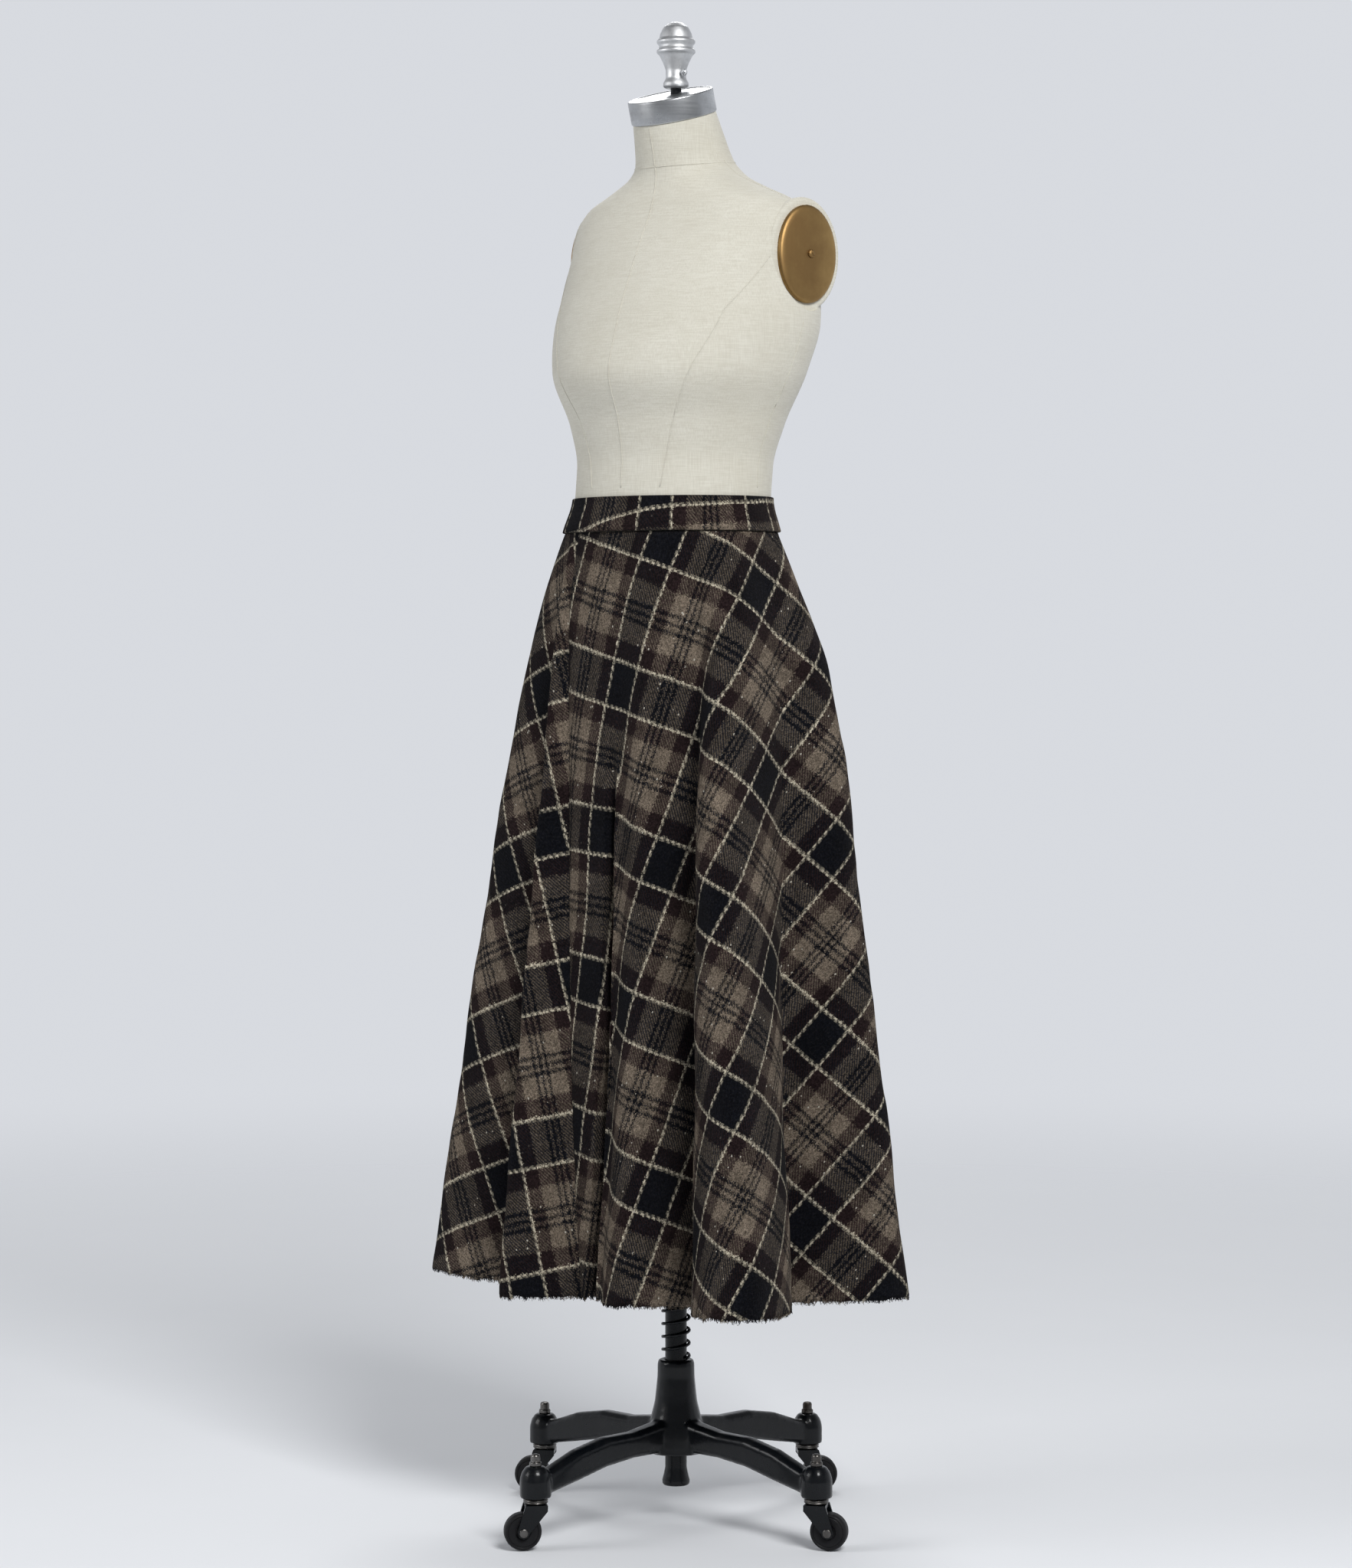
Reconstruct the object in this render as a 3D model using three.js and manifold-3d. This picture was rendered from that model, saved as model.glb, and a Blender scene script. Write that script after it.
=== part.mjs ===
// A long flared tweed skirt on a limbless dress form with a cast stand on casters.
// Millimetres, +Z up. The origin is on the floor under the pole. The form faces -Y and its left side is +X.
// An azimuth is measured from the form's front (-Y) towards its left side (+X).
import * as THREE from "three";
import { mergeVertices } from "three/addons/utils/BufferGeometryUtils.js";
import Module from "manifold-3d";

const wasm = await Module();
wasm.setup();

// Driving dimensions of the skirt
const WAIST_Z = 1131; // top edge of the waistband
const BAND_HEIGHT = 38;
const BAND_WALL = 2.6; // folded double cloth
const CLOTH = 2; // one layer of brushed wool tweed
const SEAM_GAP = 0.3; // between neighbouring pieces
const WEAR_GAP = 0.6; // between the form and the band
const HEM_Z = 259;
const CUT_LENGTH = 842; // waist seam to hem along the cloth
const SEAM_SWEEP = 711; // round the waist seam
const HEM_SWEEP = 2400; // round the hem, along the cloth
const HIP_EASE = 2; // extra room over the hips in the valleys of the folds
const HEM_BASE = { half: 157, front: 120, back: 130, shift: 0 }; // line of the valleys at the hem
const ROLL_START = 230; // distance down the cloth by which rolled folds have formed
const TUCK_START = 220; // distance down the cloth at which the tucked fold begins
const TUCK_RUN = 220; // further distance over which it takes its full share

// Folds of each panel, from the front seam round the left side to the back seam and on round the right side.
// start is the hem's azimuth of the valley before the fold, and swing how far round it lies at the waist.
// side is 1 for a fold that stands out and -1 for one tucked in, share the fold's part of its panel's
// fullness, lean its tilt round the body, roll the same near the waist, pinch its narrowing at the root,
// drop how much lower its crest hangs at the hem, and steps its facets.
const LEFT_FOLDS = [
  { start: -19.5, swing: -15.5, side: 1, share: 0, lean: 0, roll: 0, pinch: 0, drop: 0, steps: 3 },
  { start: -16.5, swing: 12.5, side: -1, share: 0.13, lean: 0, roll: 0, pinch: 0, drop: 0, steps: 8 },
  { start: -8.5, swing: 12.5, side: 1, share: 0.06, lean: -0.3, roll: 0, pinch: 0, drop: -4, steps: 8 },
  { start: 49, swing: 0, side: 1, share: 0.36, lean: -0.5, roll: -1.6, pinch: 0.18, drop: -8, steps: 12 },
  { start: 84, swing: 0, side: 1, share: 0.245, lean: 0, roll: 0, pinch: 0.02, drop: -5, steps: 10 },
  { start: 131, swing: -5, side: 1, share: 0.21, lean: 0, roll: 0, pinch: 0.06, drop: 2, steps: 10 },
];
const RIGHT_FOLDS = [
  { start: 169, swing: -22.5, side: 1, share: 0.2, lean: 0.05, roll: 0, pinch: 0.12, drop: 3, steps: 9 },
  { start: 203, swing: -12, side: 1, share: 0.18, lean: -0.04, roll: 0, pinch: 0.1, drop: 0, steps: 9 },
  { start: 235, swing: -6, side: 1, share: 0.18, lean: -0.04, roll: 0, pinch: 0.1, drop: 0, steps: 9 },
  { start: 269, swing: 0, side: 1, share: 0.285, lean: 0.03, roll: 0, pinch: 0.04, drop: -12, steps: 10 },
  { start: 314, swing: 0, side: 1, share: 0.14, lean: -0.1, roll: 0, pinch: 0.02, drop: 0, steps: 8 },
];
const FRONT_SEAM = LEFT_FOLDS[0];
const BACK_SEAM = RIGHT_FOLDS[0];
// Distances down the cloth at which the panels have a ring of points
const PANEL_DROPS = [0, 20, 45, 75, 110, 150, 195, 245, 305, 375, 455, 545, 645, 745, CUT_LENGTH];

// Driving dimensions of the dress form: horizontal sections from the base plate to the neck.
// half is the half width, front and back the depths from the centre, shift the centre's move to the back,
// and tilt how far the section leans forward, in degrees.
const FORM_SECTIONS = [
  { z: 892, half: 154, front: 104, back: 119, shift: -2, tilt: 0 },
  { z: 930, half: 157, front: 106, back: 122, shift: -3, tilt: 0 },
  { z: 985, half: 150, front: 104, back: 117, shift: -7, tilt: 0 },
  { z: 1035, half: 139, front: 100, back: 109, shift: -10, tilt: 0 },
  { z: 1085, half: 126, front: 95, back: 99.5, shift: -10, tilt: 0 },
  { z: 1127, half: 116.5, front: 91, back: 93, shift: -7, tilt: 0 },
  { z: 1165, half: 116, front: 92, back: 94, shift: -3, tilt: 0 },
  { z: 1210, half: 126, front: 103, back: 102, shift: 2, tilt: 0 },
  { z: 1270, half: 151, front: 127, back: 115, shift: 9, tilt: 0 },
  { z: 1320, half: 160, front: 122, back: 121, shift: 19, tilt: 0 },
  { z: 1370, half: 155, front: 107, back: 116, shift: 25, tilt: 0 },
  { z: 1410, half: 151, front: 90, back: 102, shift: 27, tilt: 0 },
  { z: 1435, half: 148, front: 76, back: 88, shift: 27, tilt: 0 },
  { z: 1453, half: 134, front: 67, back: 77, shift: 25, tilt: 0 },
  { z: 1470, half: 98, front: 60, back: 68, shift: 23, tilt: 0 },
  { z: 1485, half: 68, front: 56, back: 60, shift: 20, tilt: 2 },
  { z: 1500, half: 55, front: 53, back: 53, shift: 15, tilt: 7 },
  { z: 1524, half: 49.5, front: 49.5, back: 49.5, shift: 6, tilt: 13 },
  { z: 1548, half: 46, front: 46, back: 46, shift: -3, tilt: 17 },
];
const FORM_SIDES = 36;
const FORM_LEVELS = [
  892, 930, 975, 1020, 1055, 1093, 1112, 1127, 1131, 1165, 1205, 1240, 1272, 1310, 1350, 1390, 1418, 1437,
  1451, 1464, 1475, 1486, 1500, 1524, 1548,
];
// Oval end of each armhole, turned forward, and the plate on it
const ARM_STUMP = {
  x: 150, y: 36, z: 1393, halfDepth: 50, halfHeight: 62, length: 70, rounding: 4, turn: 12,
};
const ARM_PLATE = { inset: 9, thick: 5, crown: 3.5 };
const NECK_CAP = { radius: 47.5, height: 26, rim: 2.5 };
const FINIAL_FOOT_Z = 1580.5;

// Driving dimensions of the stand
const POLE_RADIUS = 12;
const POLE_BORE = 12.5;
const POLE_FOOT_Z = 39;
const HUB_TOP = 179;
const SPRING = { wire: 1.8, radius: 14.7, pitch: 14.2, turns: 10, sides: 5, steps: 8 };
const COLLAR_HEIGHT = 16;
const BASE_TURN = 38; // the stand's square, turned from the form's front
const LEG_COUNT = 4;
const LEG_REACH = 213; // pole to caster
const LEG_SECTIONS = [
  { out: 8, low: 79, high: 118, wide: 27 },
  { out: 34, low: 79, high: 112, wide: 25 },
  { out: 70, low: 79, high: 107, wide: 22 },
  { out: 112, low: 75, high: 107, wide: 21 },
  { out: 155, low: 66, high: 99, wide: 21 },
  { out: 192, low: 59, high: 86, wide: 21 },
  { out: 213, low: 57, high: 81, wide: 20 },
];
const SOCKET = { low: 56, high: 90, radius: 17.3 };
const WHEEL = { radius: 20.5, width: 18, bore: 3.3, trail: 14, facets: 20 };
const AXLE_RADIUS = 3;
const FORK = { inner: 10.4, plate: 2.6, top: 49.2, under: 45 };
// Direction in which each caster trails at rest, by the azimuth of its leg's place
const CASTER_TRAILS = { front_right: -44, front_left: 115, back_left: 133, back_right: -57 };

// Colours from the photograph's materials
const MATERIALS = {
  tweed: new THREE.MeshStandardMaterial({ color: 0x4a4038, roughness: 0.95, metalness: 0 }),
  linen: new THREE.MeshStandardMaterial({ color: 0xe6dfcc, roughness: 0.85, metalness: 0 }),
  aluminium: new THREE.MeshStandardMaterial({ color: 0xb4b8bc, roughness: 0.35, metalness: 1 }),
  brass: new THREE.MeshStandardMaterial({ color: 0x8f6a30, roughness: 0.45, metalness: 0.8 }),
  iron: new THREE.MeshStandardMaterial({ color: 0x17181b, roughness: 0.45, metalness: 0.3 }),
  steel: new THREE.MeshStandardMaterial({ color: 0x55585c, roughness: 0.35, metalness: 0.9 }),
  rubber: new THREE.MeshStandardMaterial({ color: 0x1c1d1f, roughness: 0.6, metalness: 0 }),
};

const part = new THREE.Group();

function addMesh(name, geometry, material, parent = part) {
  const mesh = new THREE.Mesh(geometry, material);
  mesh.name = name;
  parent.add(mesh);
  return mesh;
}

// Numbers and small curves

const rad = THREE.MathUtils.degToRad;
const lerp = THREE.MathUtils.lerp;
const smooth = (x) => THREE.MathUtils.smoothstep(x, 0, 1);
const outward = (azimuth) => [Math.sin(azimuth), -Math.cos(azimuth)];

// Slope of a table's column at row i, flat where the column turns, so that the curve never overshoots.
function columnSlope(rows, key, column, i) {
  const step = (j) => (rows[j + 1][column] - rows[j][column]) / (rows[j + 1][key] - rows[j][key]);
  if (i === 0) return step(0);
  if (i === rows.length - 1) return step(i - 1);
  const before = step(i - 1);
  const after = step(i);
  return before * after <= 0 ? 0 : (2 * before * after) / (before + after);
}

// A table's columns at a place between its rows, on smooth monotone curves.
function readTable(rows, key, at) {
  let i = rows.findIndex((row) => row[key] > at) - 1;
  if (i < -1) i = rows.length - 2;
  i = Math.max(i, 0);
  const span = rows[i + 1][key] - rows[i][key];
  const t = THREE.MathUtils.clamp((at - rows[i][key]) / span, 0, 1);
  const found = {};
  for (const column of Object.keys(rows[i])) {
    const a = rows[i][column];
    const b = rows[i + 1][column];
    const bendA = columnSlope(rows, key, column, i) * span;
    const bendB = columnSlope(rows, key, column, i + 1) * span;
    const cubic = 2 * t ** 3 - 3 * t ** 2 + 1;
    found[column] =
      cubic * a + (t ** 3 - 2 * t ** 2 + t) * bendA + (1 - cubic) * b + (t ** 3 - t ** 2) * bendB;
  }
  return found;
}

// Distance from the centre to an egg-shaped section's edge.
function sectionRadius(section, azimuth) {
  const depth = Math.cos(azimuth) > 0 ? section.front : section.back;
  return 1 / Math.hypot(Math.sin(azimuth) / section.half, Math.cos(azimuth) / depth);
}

// Meshes from rings and grids of points

// Writes triangles into a geometry with shared points.
function geometryFrom(points, triangles) {
  const geometry = new THREE.BufferGeometry();
  geometry.setAttribute("position", new THREE.Float32BufferAttribute(points.flat(), 3));
  geometry.setIndex(triangles.flat());
  geometry.computeVertexNormals();
  return geometry;
}

// Closed solid through rings of equal count, each running anticlockwise seen from the last ring's end.
function loftSolid(rings) {
  const count = rings[0].length;
  const points = rings.flat();
  const triangles = [];
  for (let i = 0; i + 1 < rings.length; i++) {
    for (let j = 0; j < count; j++) {
      const k = (j + 1) % count;
      const [a, b, c, d] = [i * count + j, i * count + k, (i + 1) * count + k, (i + 1) * count + j];
      triangles.push([a, b, c], [a, c, d]);
    }
  }
  const capCentre = (ring) => [0, 1, 2].map((axis) => ring.reduce((sum, p) => sum + p[axis], 0) / count);
  const last = (rings.length - 1) * count;
  const lowCentre = points.push(capCentre(rings[0])) - 1;
  const highCentre = points.push(capCentre(rings.at(-1))) - 1;
  for (let j = 0; j < count; j++) {
    const k = (j + 1) % count;
    triangles.push([lowCentre, k, j], [highCentre, last + j, last + k]);
  }
  return geometryFrom(points, triangles);
}

// Closed wall between an outer and an inner grid. Rows run down, and columns run by rising azimuth.
function wallSolid(outer, inner) {
  const rows = outer.length;
  const columns = outer[0].length;
  const points = [...outer.flat(), ...inner.flat()];
  const at = (layer, i, j) => layer * rows * columns + i * columns + j;
  const triangles = [];
  const quad = (a, b, c, d) => triangles.push([a, b, c], [a, c, d]);
  for (let i = 0; i + 1 < rows; i++) {
    for (let j = 0; j + 1 < columns; j++) {
      quad(at(0, i, j), at(0, i + 1, j), at(0, i + 1, j + 1), at(0, i, j + 1));
      quad(at(1, i, j), at(1, i, j + 1), at(1, i + 1, j + 1), at(1, i + 1, j));
    }
    quad(at(0, i, 0), at(1, i, 0), at(1, i + 1, 0), at(0, i + 1, 0));
    const end = columns - 1;
    quad(at(0, i, end), at(0, i + 1, end), at(1, i + 1, end), at(1, i, end));
  }
  for (let j = 0; j + 1 < columns; j++) {
    quad(at(0, 0, j), at(0, 0, j + 1), at(1, 0, j + 1), at(1, 0, j));
    const last = rows - 1;
    quad(at(0, last, j), at(1, last, j), at(1, last, j + 1), at(0, last, j + 1));
  }
  return geometryFrom(points, triangles);
}

// Moves a grid's points inwards along its normals, by the wall's thickness.
function insetGrid(grid, thickness) {
  const minus = (p, q) => new THREE.Vector3(p[0] - q[0], p[1] - q[1], p[2] - q[2]);
  return grid.map((row, i) =>
    row.map((p, j) => {
      const across = minus(row[Math.min(j + 1, row.length - 1)], row[Math.max(j - 1, 0)]);
      const down = minus(grid[Math.min(i + 1, grid.length - 1)][j], grid[Math.max(i - 1, 0)][j]);
      const inward = across.cross(down).normalize();
      return [p[0] + inward.x * thickness, p[1] + inward.y * thickness, p[2] + inward.z * thickness];
    }),
  );
}

// Turned solid about +Z from [radius, height] pairs, going up the outside.
function turned(profile, sides) {
  const points = profile.map(([r, z]) => new THREE.Vector2(r, z));
  return new THREE.LatheGeometry(points, sides).rotateX(Math.PI / 2);
}

// A solid for cutting and joining, and back to a geometry.
function toSolid(geometry) {
  const bare = geometry.clone();
  bare.deleteAttribute("normal");
  bare.deleteAttribute("uv");
  const merged = mergeVertices(bare, 1e-4);
  const mesh = new wasm.Mesh({
    numProp: 3,
    vertProperties: merged.attributes.position.array,
    triVerts: new Uint32Array(merged.index.array),
  });
  return new wasm.Manifold(mesh);
}

function toGeometry(solid) {
  const mesh = solid.getMesh();
  const geometry = new THREE.BufferGeometry();
  geometry.setAttribute("position", new THREE.BufferAttribute(mesh.vertProperties, 3));
  geometry.setIndex(new THREE.BufferAttribute(mesh.triVerts, 1));
  geometry.computeVertexNormals();
  return geometry;
}

// Dress form

const formSection = (z) => readTable(FORM_SECTIONS, "z", z);

// One ring of the form, leaning forward about its own middle in the neck.
function formRing(z) {
  const section = formSection(z);
  const lean = rad(section.tilt);
  return Array.from({ length: FORM_SIDES }, (_, i) => {
    const azimuth = (i / FORM_SIDES) * 2 * Math.PI;
    const depth = Math.cos(azimuth) > 0 ? section.front : section.back;
    const y = -depth * Math.cos(azimuth);
    return [
      section.half * Math.sin(azimuth),
      section.shift + y * Math.cos(lean),
      z + y * Math.sin(lean),
    ];
  });
}

// Places a piece made about +Z on the end of an armhole, with +Z out of the body.
function onArmhole(geometry, side) {
  const { x, y, z, turn } = ARM_STUMP;
  return geometry.rotateY((side * Math.PI) / 2).rotateZ(-side * rad(turn)).translate(side * x, y, z);
}

function makeTorso() {
  const { halfDepth, halfHeight, length, rounding } = ARM_STUMP;
  let solid = toSolid(loftSolid(FORM_LEVELS.map(formRing)));
  const lip = 1 - rounding / halfDepth;
  const profile = [[0, -length], [0.7, -length], [1, -2 * rounding], [1, -rounding], [lip, 0], [0, 0]];
  for (const side of [-1, 1]) {
    const stump = turned(profile, 20).scale(halfHeight, halfDepth, 1);
    const beyond = turned([[0, 0], [1, 0], [1, length], [0, length]], 20).scale(halfHeight, halfDepth, 1);
    solid = solid.subtract(toSolid(onArmhole(beyond, side))).add(toSolid(onArmhole(stump, side)));
  }
  addMesh("form_torso", toGeometry(solid), MATERIALS.linen);
}

// Domed oval plate over an armhole, with the screw in its middle.
function makeArmPlate(side, sideName) {
  const { inset, thick, crown } = ARM_PLATE;
  const top = thick + crown;
  const dome = [[0.96, thick], [0.6, thick + crown * 0.65], [0.17, top], [0, top]];
  const plate = turned([[0, 0], [1, 0], [1, thick - 2], ...dome], 26);
  plate.scale(ARM_STUMP.halfHeight - inset, ARM_STUMP.halfDepth - inset, 1).translate(0, 0, SEAM_GAP);
  addMesh(`arm_plate_${sideName}`, onArmhole(plate, side), MATERIALS.brass);
  const screw = turned([[0, 0], [4.5, 0], [4.5, 1.4], [2.5, 3], [0, 3.2]], 10);
  screw.translate(0, 0, top + 2 * SEAM_GAP);
  addMesh(`arm_screw_${sideName}`, onArmhole(screw, side), MATERIALS.brass);
}

// Metal neck cap, leaning with the neck, and the turned finial that stands upright over it.
function makeNeckTop() {
  const top = FORM_SECTIONS.at(-1);
  const cap = new THREE.Group();
  cap.position.set(0, top.shift, top.z);
  cap.rotation.set(rad(top.tilt), 0, 0);
  part.add(cap);
  const { radius, height, rim } = NECK_CAP;
  const capProfile = [
    [0, SEAM_GAP],
    [radius - 1, SEAM_GAP],
    [radius, SEAM_GAP + 1],
    [radius, height - 1],
    [radius - 1, height],
    [radius - rim, height],
    [radius - rim - 1, height - 1],
    [0, height - 1],
  ];
  addMesh("neck_cap", turned(capProfile, 28), MATERIALS.aluminium, cap);

  const rodLength = 60;
  const rod = turned([[0, 0], [6, 0], [6, rodLength], [0, rodLength]], 14);
  rod.translate(0, 0, FINIAL_FOOT_Z - SEAM_GAP - rodLength);
  const capTop = height - 1 + SEAM_GAP;
  const below = new THREE.BoxGeometry(120, 120, 100).translate(0, 0, capTop - 50);
  below.applyMatrix4(new THREE.Matrix4().makeRotationX(rad(top.tilt)).setPosition(0, top.shift, top.z));
  addMesh("finial_rod", toGeometry(toSolid(rod).subtract(toSolid(below))), MATERIALS.iron);

  const finialProfile = [
    [0, 0], [11, 0], [14.2, 2], [14, 6], [11.2, 11], [11.2, 20], [14.2, 28], [18.4, 36.5],
    [21.4, 39], [21.4, 41.5], [18.8, 43.5], [18.5, 47], [21.2, 49.5], [21.2, 52], [18.4, 54.5],
    [17.4, 59.5], [14, 66.5], [7, 71.7], [0, 73],
  ];
  const finial = turned(finialProfile, 14);
  addMesh("finial", finial.translate(0, 0, FINIAL_FOOT_Z), MATERIALS.aluminium);

  const screwAzimuth = rad(70);
  const screw = turned([[0, 0], [1.6, 0], [1.6, 3], [3.6, 3.2], [3.6, 6], [2.8, 6.8], [0, 6.8]], 10);
  const [x, y] = outward(screwAzimuth);
  screw.applyMatrix4(
    new THREE.Matrix4().makeRotationFromQuaternion(
      new THREE.Quaternion().setFromUnitVectors(new THREE.Vector3(0, 0, 1), new THREE.Vector3(x, y, 0)),
    ),
  );
  const screwReach = 11.6;
  addMesh(
    "finial_screw",
    screw.translate(x * screwReach, y * screwReach, FINIAL_FOOT_Z + 16),
    MATERIALS.aluminium,
  );
}

// Skirt

const SEAM_Z = WAIST_Z - BAND_HEIGHT - SEAM_GAP; // top of the panels
const HIP_Z = 930;

// Line of the fold valleys at a distance down the cloth: over the form to the hips, then down to the hem.
function valleySection(drop) {
  const z = SEAM_Z - drop;
  const room = WEAR_GAP + CLOTH + HIP_EASE * smooth((SEAM_Z - z) / (SEAM_Z - HIP_Z));
  const over = formSection(Math.max(z, HIP_Z));
  const fall = smooth((HIP_Z - z) / (HIP_Z - HEM_Z));
  const column = (name) => lerp(over[name] + room, HEM_BASE[name], fall);
  const shift = lerp(over.shift, HEM_BASE.shift, fall);
  const upper = smooth(drop / ROLL_START) * (1 - drop / CUT_LENGTH) ** 2;
  return { half: column("half"), front: column("front"), back: column("back"), shift, upper };
}

const valleyAzimuth = (fold, drop) => rad(fold.start + fold.swing * (1 - (drop / CUT_LENGTH) ** 3));

// Points across one fold, from valley to valley, that stands out or is tucked in by depth.
function foldLine(section, fold, from, to, depth) {
  const tilt = fold.lean + fold.roll * section.upper;
  return Array.from({ length: fold.steps + 1 }, (_, i) => {
    const u = i / fold.steps;
    const azimuth = lerp(from, to, u);
    const rise = Math.sin(Math.PI * u) ** 2;
    const radius = sectionRadius(section, azimuth) + fold.side * depth * rise;
    const slide = depth * (tilt * rise - fold.pinch * Math.sin(2 * Math.PI * u));
    const [x, y] = outward(azimuth);
    return [radius * x - slide * y, section.shift + radius * y + slide * x];
  });
}

const lineLength = (line) =>
  line.slice(1).reduce((sum, p, i) => sum + Math.hypot(p[0] - line[i][0], p[1] - line[i][1]), 0);

// The fold whose line has the given length, found by halving.
function foldOfLength(section, fold, from, to, length) {
  let [low, high] = [0, 400];
  for (let i = 0; i < 40; i++) {
    const depth = (low + high) / 2;
    if (lineLength(foldLine(section, fold, from, to, depth)) < length) low = depth;
    else high = depth;
  }
  return foldLine(section, fold, from, to, low);
}

// One panel's line at a distance down the cloth: its share of the sweep, laid in folds over the valley line.
function panelLine(folds, endFold, endTurn, drop) {
  const section = valleySection(drop);
  const starts = folds.map((fold) => valleyAzimuth(fold, drop));
  const ends = [...starts.slice(1), valleyAzimuth(endFold, drop) + endTurn];
  const flat = folds.map((fold, i) => lineLength(foldLine(section, fold, starts[i], ends[i], 0)));
  const halfSweep = lerp(SEAM_SWEEP, HEM_SWEEP, drop / CUT_LENGTH) / 2;
  const fullness = Math.max(0, halfSweep - flat.reduce((a, b) => a + b, 0));
  const tucked = smooth((drop - TUCK_START) / TUCK_RUN);
  const weights = folds.map((fold) => (fold.side < 0 ? tucked : 1) * fold.share);
  const whole = weights.reduce((a, b) => a + b, 0);
  const lines = folds.map((fold, i) => {
    const length = flat[i] + (weights[i] / whole) * fullness;
    return foldOfLength(section, fold, starts[i], ends[i], length);
  });
  return lines.flatMap((line, i) => (i ? line.slice(1) : line));
}

// The fold that each of a panel's columns belongs to, and the column's place across it from 0 to 1.
function panelColumns(folds) {
  const columns = folds.flatMap((fold) =>
    Array.from({ length: fold.steps }, (_, i) => ({ fold, across: i / fold.steps })),
  );
  return [...columns, { fold: folds.at(-1), across: 1 }];
}

// Heights of a panel's points, so that each column keeps the cloth's length and hangs to the hem.
function hangPanel(lines, folds) {
  const heights = lines.map((line) => line.map(() => SEAM_Z));
  panelColumns(folds).forEach(({ fold, across }, j) => {
    for (let i = 1; i < lines.length; i++) {
      const [p, q] = [lines[i - 1][j], lines[i][j]];
      const along = PANEL_DROPS[i] - PANEL_DROPS[i - 1];
      const sideways = Math.min(Math.hypot(q[0] - p[0], q[1] - p[1]), 0.9 * along);
      heights[i][j] = heights[i - 1][j] - Math.sqrt(along ** 2 - sideways ** 2);
    }
    const hem = HEM_Z - fold.drop * Math.sin(Math.PI * across) ** 2;
    const stretch = (SEAM_Z - hem) / (SEAM_Z - heights.at(-1)[j]);
    for (const row of heights) row[j] = SEAM_Z - (SEAM_Z - row[j]) * stretch;
  });
  return lines.map((line, i) => line.map((p, j) => [p[0], p[1], heights[i][j]]));
}

// Draws a panel's two edges in, so that the seams keep their gap.
function trimEdges(grid) {
  for (const row of grid) {
    for (const [edge, next] of [[0, 1], [row.length - 1, row.length - 2]]) {
      const step = [0, 1, 2].map((axis) => row[next][axis] - row[edge][axis]);
      const draw = SEAM_GAP / 2 / Math.hypot(...step);
      row[edge] = row[edge].map((value, axis) => value + step[axis] * draw);
    }
  }
  return grid;
}

function makePanel(name, folds, endFold, endTurn) {
  const lines = PANEL_DROPS.map((drop) => panelLine(folds, endFold, endTurn, drop));
  const outer = trimEdges(hangPanel(lines, folds));
  addMesh(name, wallSolid(outer, insetGrid(outer, CLOTH)), MATERIALS.tweed);
}

// The band is one strip round the waist, open by the seam's gap at the back.
const BAND_LEVELS = [
  { down: 0, swell: -0.4 },
  { down: 4, swell: 0.1 },
  { down: 19, swell: 0.3 },
  { down: 38, swell: -0.3 },
];
const BAND_SIDES = 60;

function bandPoint(azimuth, down, offset) {
  const section = formSection(WAIST_Z - down);
  const radius = sectionRadius(section, azimuth) + offset;
  const [x, y] = outward(azimuth);
  return [radius * x, section.shift + radius * y, WAIST_Z - down];
}

function makeWaistband() {
  const open = valleyAzimuth(BACK_SEAM, 0);
  const slit = SEAM_GAP / 2 / formSection(WAIST_Z).back;
  const azimuths = Array.from({ length: BAND_SIDES + 1 }, (_, i) =>
    lerp(open + slit, open + 2 * Math.PI - slit, i / BAND_SIDES),
  );
  const grid = (offset) =>
    BAND_LEVELS.map((level) => azimuths.map((azimuth) => bandPoint(azimuth, level.down, offset(level))));
  const outer = grid((level) => WEAR_GAP + BAND_WALL + level.swell);
  const inner = grid(() => WEAR_GAP);
  addMesh("waistband", wallSolid(outer, inner), MATERIALS.tweed);
}

// Concealed zip's slider at the top of the back seam, and the pull tab that hangs on its bridge
const ZIP = {
  down: 9, width: 7, height: 9, thick: 2, stand: 2.2, pin: 0.7, barrel: 1.7, grip: 4.4, tab: 22,
};

// Frame on the band's outer face: X round the waist, Y up the band, Z out of it.
function zipFrame() {
  const azimuth = valleyAzimuth(BACK_SEAM, 0);
  const offset = WEAR_GAP + BAND_WALL + BAND_LEVELS[2].swell + 2 * SEAM_GAP;
  const at = (turn, down) => new THREE.Vector3(...bandPoint(azimuth + turn, down, offset));
  const up = at(0, ZIP.down - ZIP.height / 2).sub(at(0, ZIP.down + ZIP.height / 2)).normalize();
  const along = at(0.01, ZIP.down).sub(at(-0.01, ZIP.down));
  const out = along.clone().cross(up).normalize();
  const across = up.clone().cross(out);
  return new THREE.Matrix4().makeBasis(across, up, out).setPosition(at(0, ZIP.down));
}

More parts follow.
